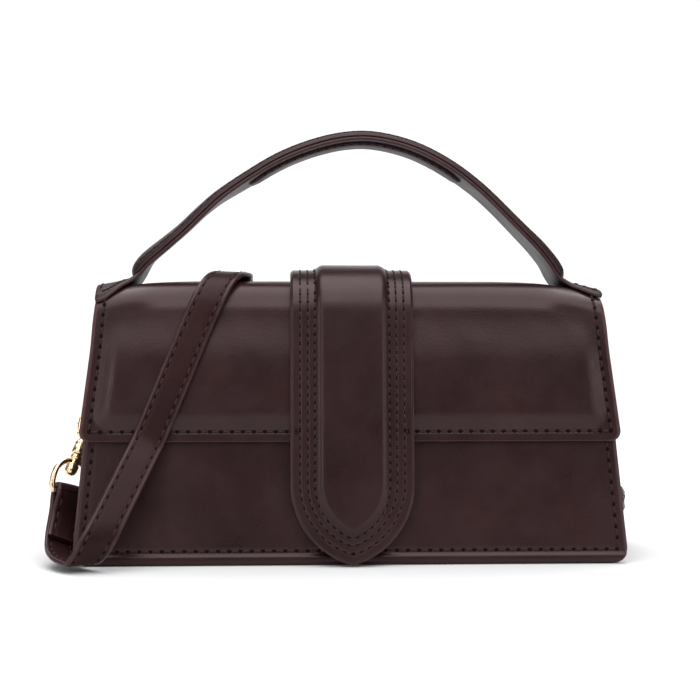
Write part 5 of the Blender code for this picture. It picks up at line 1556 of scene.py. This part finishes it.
    o = object_from("grip_liner", v, f, [GRIP_SKIN, EDGE, GRIP_SKIN], sl, body="flap")
    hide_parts("handle_grip")
    r = Rows("grip_rows")
    for sg in (-1, 1):
        # sewn through along its edge, just under the strip
        pts = [(cl[i, 0] - cn[i, 0] * (GAP + 0.42), sg * (wid[i] + 0.10), cl[i, 1] - cn[i, 1] * (GAP + 0.42)) for i in range(7, len(at) - 7)]
        nn = [(0, sg, 0) for i in range(7, len(at) - 7)]
        r.add(pts, nn, 3.8, radius=0.34)
    r.make("flap", slot="grip_leather")


make_handle()


# ---------------------------------------------------------------- rings, hooks, magnets
def side_metal(side, word, h):
    bar, out, low, a, n, l = h["bar"], h["out"], h["low"], h["a"], h["n"], h["l"]
    back_x, hw, cz, hh = h["back_x"], h["hw"], h["cz"], h["hh"]
    r = abs(bar[0]) - back_x
    bar_z = 73.5

    def wall(z):
        return half_width(z) - 7.0 + GAP + 0.75
    path = [(side * wall(z), 0.0, z) for z in (99.0, 92.0, 85.0, 79.0)]
    for k in range(17):
        g = math.pi * k / 16
        path.append((bar[0] - side * r * math.cos(g), 0.0, bar_z - r * math.sin(g)))
    path += [(side * (wall(z) + 1.3 + GAP + e), 0.0, z) for z, e in ((79.5, 2.2), (83.5, 0.5), (88.0, 0.1), (92.0, 0.1), (97.0, 0.1))]
    p = curve(path, 1.0)
    t = np.gradient(p, axis=0)
    t = t / np.linalg.norm(t, axis=1)[:, None]
    prof = [(-0.9, 0.5), (-0.7, 0.62), (-0.64, 0.5), (-0.56, 0.64), (0, 0.65), (0.56, 0.64), (0.64, 0.5), (0.7, 0.62), (0.9, 0.5), (0.985, 0.25), (0.985, -0.25), (0.9, -0.5), (0, -0.65), (-0.9, -0.5), (-0.985, -0.25), (-0.985, 0.25)]
    loops = []
    for i in range(len(p)):
        w = np.array([0, 1.0, 0])
        q = np.cross(t[i], w)
        loops.append([p[i] + w * x * 6.5 + q * y for x, y in prof])
    v, f = loft(loops)
    sl = []
    for i in range(len(p) - 1):
        for j in range(len(prof)):
            sl.append(1 if j in (8, 9, 10, 13, 14, 15) else 0)
    sl += [1, 1]
    o = object_from(word + "_tab", v, f, [SKIN, EDGE], sl, body="bag")
    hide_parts(word + "_ring_tab")
    rr = Rows(word + "_tab_rows")
    for z in (86.5, 95.0):
        x = side * (wall(z) + 1.3 + GAP + 0.1 + 0.62)
        rr.add([(x, y, z) for y in np.linspace(-4.6, 4.6, 12)], [(side, 0, 0)] * 12, 2.3, radius=0.32)
    for y in (-4.4, 4.4):
        rr.add([(side * (wall(z) + 1.3 + GAP + 0.1 + 0.62), y, z) for z in np.linspace(86.5, 95.0, 12)], [(side, 0, 0)] * 12, 2.8, radius=0.32)
    rr.make("bag")
    # D-ring
    pts = [bar + np.array([0, y, 0]) for y in np.linspace(-8.0, 8.0, 9)]
    for k in range(1, 40):
        g = math.pi * k / 40
        pts.append(bar + np.array([0, 8.5 * math.cos(g), 0]) + out * (3.2 * min(1, math.sin(g) * 5) + 9.8 * math.sin(g)))
    base = [bar + np.array([0, y, 0]) for y in (-8.5, -4.2, 0.0, 4.2, 8.5)]
    ring = [bar + np.array([0, 8.5 * math.cos(math.pi * k / 14), 0]) + out * (3.2 + 9.8 * math.sin(math.pi * k / 14)) for k in range(1, 14)]
    closed = np.array(base + ring)
    closed = np.concatenate([closed[-2:], closed, closed[:2]])
    fine = curve(closed, 0.9)
    i0 = int(np.argmin(np.linalg.norm(fine[:len(fine) // 3] - base[0], axis=1)))
    i1 = len(fine) // 2 + int(np.argmin(np.linalg.norm(fine[len(fine) // 2:] - base[0], axis=1)))
    v, f = tube(fine[i0:i1], RING_WIRE / 2 - 0.06, 18, closed=True)
    o = object_from(word + "_ring", v, f, [GOLD], body=word + "_ring")
    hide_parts(word + "_d_ring")

    def at(u, w, tt=0.0):
        return low + l * u + a * w + n * tt
    # claw and barrel
    pts, rad = [], []
    for k in range(49):
        g = math.radians(NOSE + (315 - NOSE) / 48 * k)
        pts.append(at(hw * math.cos(g), cz + hh * math.sin(g)))
        rad.append((HOOK_WIRE / 2 - 0.10) * (0.55 + 0.45 * min(1.0, (k / 2.2) ** 0.5)))
    parts_ = [tube(pts, rad, 16, up=tuple(n))]
    prof = [(0.9, cz - hh + 1.0), (1.7, cz - hh + 0.6), (2.0, cz - hh - 0.8), (2.4, cz - hh - 1.6), (2.8, cz - hh - 2.4), (3.1, cz - hh - 3.0), (3.1, cz - hh - 3.6), (2.75, cz - hh - 3.9), (2.75, cz - hh - 4.3), (3.1, cz - hh - 4.6), (3.1, cz - hh - 7.6), (2.95, cz - hh - 8.1), (2.5, cz - hh - 8.55), (0.6, cz - hh - 8.6)]
    loops = [[at(q * math.cos(2 * math.pi * k / 28), w, q * math.sin(2 * math.pi * k / 28)) for k in range(28)] for q, w in prof]
    parts_.append(loft(loops))
    v, f = together(parts_)
    o = object_from(word + "_claw", v, f, [GOLD], body=word + "_snap_hook", merge=0.0005)
    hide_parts(word + "_hook")
    # gate with its thumb lug and pivot
    g0 = at(hw * math.cos(math.radians(-38)) - 0.2, cz + hh * math.sin(math.radians(-38)) - 0.2)
    g1 = at(hw * math.cos(math.radians(NOSE)) + 0.9, cz + hh * math.sin(math.radians(NOSE)) - 0.85)
    line = np.array([g0 * (1 - u) + g1 * u + l * 0.25 * math.sin(math.pi * u) for u in np.linspace(0, 1, 14)])
    rad = [0.6, 0.9, 0.95] + [0.95] * 8 + [0.95, 0.85, 0.5]
    parts_ = [tube(line, rad, 14, up=tuple(n))]
    mid = g0 * 0.45 + g1 * 0.55 + l * 0.7
    parts_.append(tube([mid, mid + l * 0.5, mid + l * 1.0, mid + l * 1.25], [0.75, 0.8, 0.7, 0.3], 12, up=tuple(n)))
    v, f = together(parts_)
    o = object_from(word + "_lever", v, f, [GOLD], body=word + "_snap_gate", merge=0.0005)
    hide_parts(word + "_gate")
    # swivel loop with its riveted pin
    across, down, kb, end = h["across"], h["down"], h["kb"], h["end"]
    half = [(0.0, 0.0), (3.2, 0.2), (6.0, 1.7), (7.9, 4.4), (8.7, 7.6), (8.8, 11.0), (8.4, 13.0), (7.4, 14.0), (3.7, 14.0)]
    pts = [kb + across * u + down * w for u, w in half] + [kb + down * 14.0] + [kb - across * u + down * w for u, w in half[:0:-1]]
    pts = np.array(pts)
    closed = np.concatenate([pts[-2:], pts, pts[:2]])
    fine = curve(closed, 0.8)
    i0 = int(np.argmin(np.linalg.norm(fine[:len(fine) // 3] - pts[0], axis=1)))
    i1 = len(fine) // 2 + int(np.argmin(np.linalg.norm(fine[len(fine) // 2:] - pts[0], axis=1)))
    parts_ = [tube(fine[i0:i1], HOOK_WIRE / 2, 16, closed=True, up=tuple(unit(np.cross(across, down))))]
    prof = [(0.6, 0.02), (1.8, 0.0), (2.35, -0.2), (2.6, -0.7), (2.6, -1.6), (2.3, -2.0), (2.0, -2.3), (2.0, -4.4), (2.4, -4.7), (2.75, -5.2), (2.8, -6.2), (2.8, -7.4), (2.5, -8.5), (2.0, -9.3), (1.2, -9.8), (0.4, -9.9)]
    loops = [[end + a * w + l * q * math.cos(2 * math.pi * k / 28) + n * q * math.sin(2 * math.pi * k / 28) for k in range(28)] for q, w in prof]
    parts_.append(loft(loops))
    v, f = together(parts_)
    o = object_from(word + "_loop", v, f, [GOLD], body=word + "_ring", merge=0.0005)
    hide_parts(word + "_swivel_loop")


side_metal(-1, "left", LEFT)
side_metal(1, "right", RIGHT)


def magnets():
    ny, nz = -math.cos(ANG), math.sin(ANG)
    z = 24.0

    def turned_disc(c, d, rows):
        d = unit(d)
        b = unit(np.cross(d, (1, 0, 0)))
        e = np.cross(d, b)
        loops = [[np.array(c) + d * at + r * (math.cos(2 * math.pi * k / 48) * b + math.sin(2 * math.pi * k / 48) * e) for k in range(48)] for r, at in rows]
        return loops
    c = np.array([0.0, front_y(z), z]) + np.array([0, ny, nz]) * GAP
    v, f = loft(turned_disc(c, (0, ny, nz), [(8.4, 0.0), (8.5, 0.25), (8.5, 0.8), (8.3, 1.1), (7.9, 1.28), (7.0, 1.3), (6.8, 1.05), (5.6, 1.05), (5.4, 1.3), (2.2, 1.3), (1.75, 1.22), (1.6, 1.0), (1.6, 0.0)]), closed=True)
    o = object_from("magnet_base", v, f, [GOLD], body="bag", sharp=40)
    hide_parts("magnet_front")
    c = np.array([0.0, -FLAP_FRONT_Y0 + LEAN * z, z])
    v, f = loft(turned_disc(c, (0, -ny, -nz), [(8.5, 0.0), (8.5, 0.9), (8.35, 1.25), (7.9, 1.48), (6.4, 1.5), (6.2, 1.3), (4.4, 1.3), (4.2, 1.5), (0.4, 1.5)]))
    o = object_from("magnet_cap", v, f, [GOLD], body="flap", sharp=40)
    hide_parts("magnet_tab")


magnets()


# ---------------------------------------------------------------- studio
def studio():
    m, nt, p, co = nodes_of("studio_paper")
    n = noise(nt, co, 3.0, 3.0)
    c = ramp(nt, n.outputs["Fac"], [(0.3, (0.655, 0.655, 0.66)), (0.7, (0.675, 0.675, 0.68))])
    nt.links.new(c.outputs["Color"], p.inputs["Base Color"])
    p.inputs["Roughness"].default_value = 0.9
    p.inputs["Specular IOR Level"].default_value = 0.1
    prof = [(-2.2, 0.0), (1.1, 0.0)]
    for k in range(1, 13):
        a = math.pi / 2 * k / 12
        prof.append((1.1 + 0.7 * math.sin(a), 0.7 - 0.7 * math.cos(a)))
    prof.append((1.8, 3.0))
    verts, faces = [], []
    for y, z in prof:
        verts += [(-3.2, y, z - 0.0004), (3.2, y, z - 0.0004)]
    for i in range(len(prof) - 1):
        faces.append((2 * i, 2 * i + 1, 2 * i + 3, 2 * i + 2))
    mesh = bpy.data.meshes.new("studio_floor")
    mesh.from_pydata(verts, [], faces)
    mesh.materials.append(m)
    mesh.polygons.foreach_set("use_smooth", np.ones(len(mesh.polygons), bool))
    o = bpy.data.objects.new("studio_floor", mesh)
    bpy.context.scene.collection.objects.link(o)

    def area(name, place, aim, size, power, colour=(1, 1, 1)):
        d = bpy.data.lights.new(name, "AREA")
        d.shape = "RECTANGLE"
        d.size, d.size_y = size
        d.energy = power
        d.color = colour
        q = bpy.data.objects.new(name, d)
        q.location = place
        q.rotation_euler = (Vector(aim) - Vector(place)).to_track_quat("-Z", "Y").to_euler()
        bpy.context.scene.collection.objects.link(q)

    area("overhead", (0.0, -0.10, 1.15), (0, -0.02, 0.0), (1.3, 0.9), 14)
    area("backdrop_wash", (0.0, 0.65, 1.5), (0, 1.5, 0.5), (2.4, 0.7), 34)
    area("left_card", (-1.15, -0.55, 0.45), (0, 0, 0.08), (0.5, 0.9), 3.0)
    area("right_card", (1.15, -0.55, 0.45), (0, 0, 0.08), (0.5, 0.9), 2.0)
    area("front_fill", (0.1, -1.7, 0.9), (0, 0, 0.08), (1.4, 0.8), 0.6)
    area("front_top", (0.0, -1.15, 1.35), (0, 0, 0.10), (2.3, 0.9), 20.0)
    area("front_low", (0.0, -1.5, 0.95), (0, 0, 0.10), (2.3, 0.5), 4.0)
    area("left_strip", (-0.66, -1.12, 0.22), (-0.10, 0, 0.08), (0.12, 0.6), 1.6)
    area("right_strip", (0.95, -1.02, 0.22), (0.10, 0, 0.08), (0.12, 0.6), 1.6)
    w = bpy.data.worlds.new("studio_world")
    w.use_nodes = True
    w.node_tree.nodes["Background"].inputs["Color"].default_value = (1.0, 1.0, 1.0, 1.0)
    w.node_tree.nodes["Background"].inputs["Strength"].default_value = 0.07
    bpy.context.scene.world = w
    bpy.context.scene.view_settings.view_transform = "Standard"


studio()
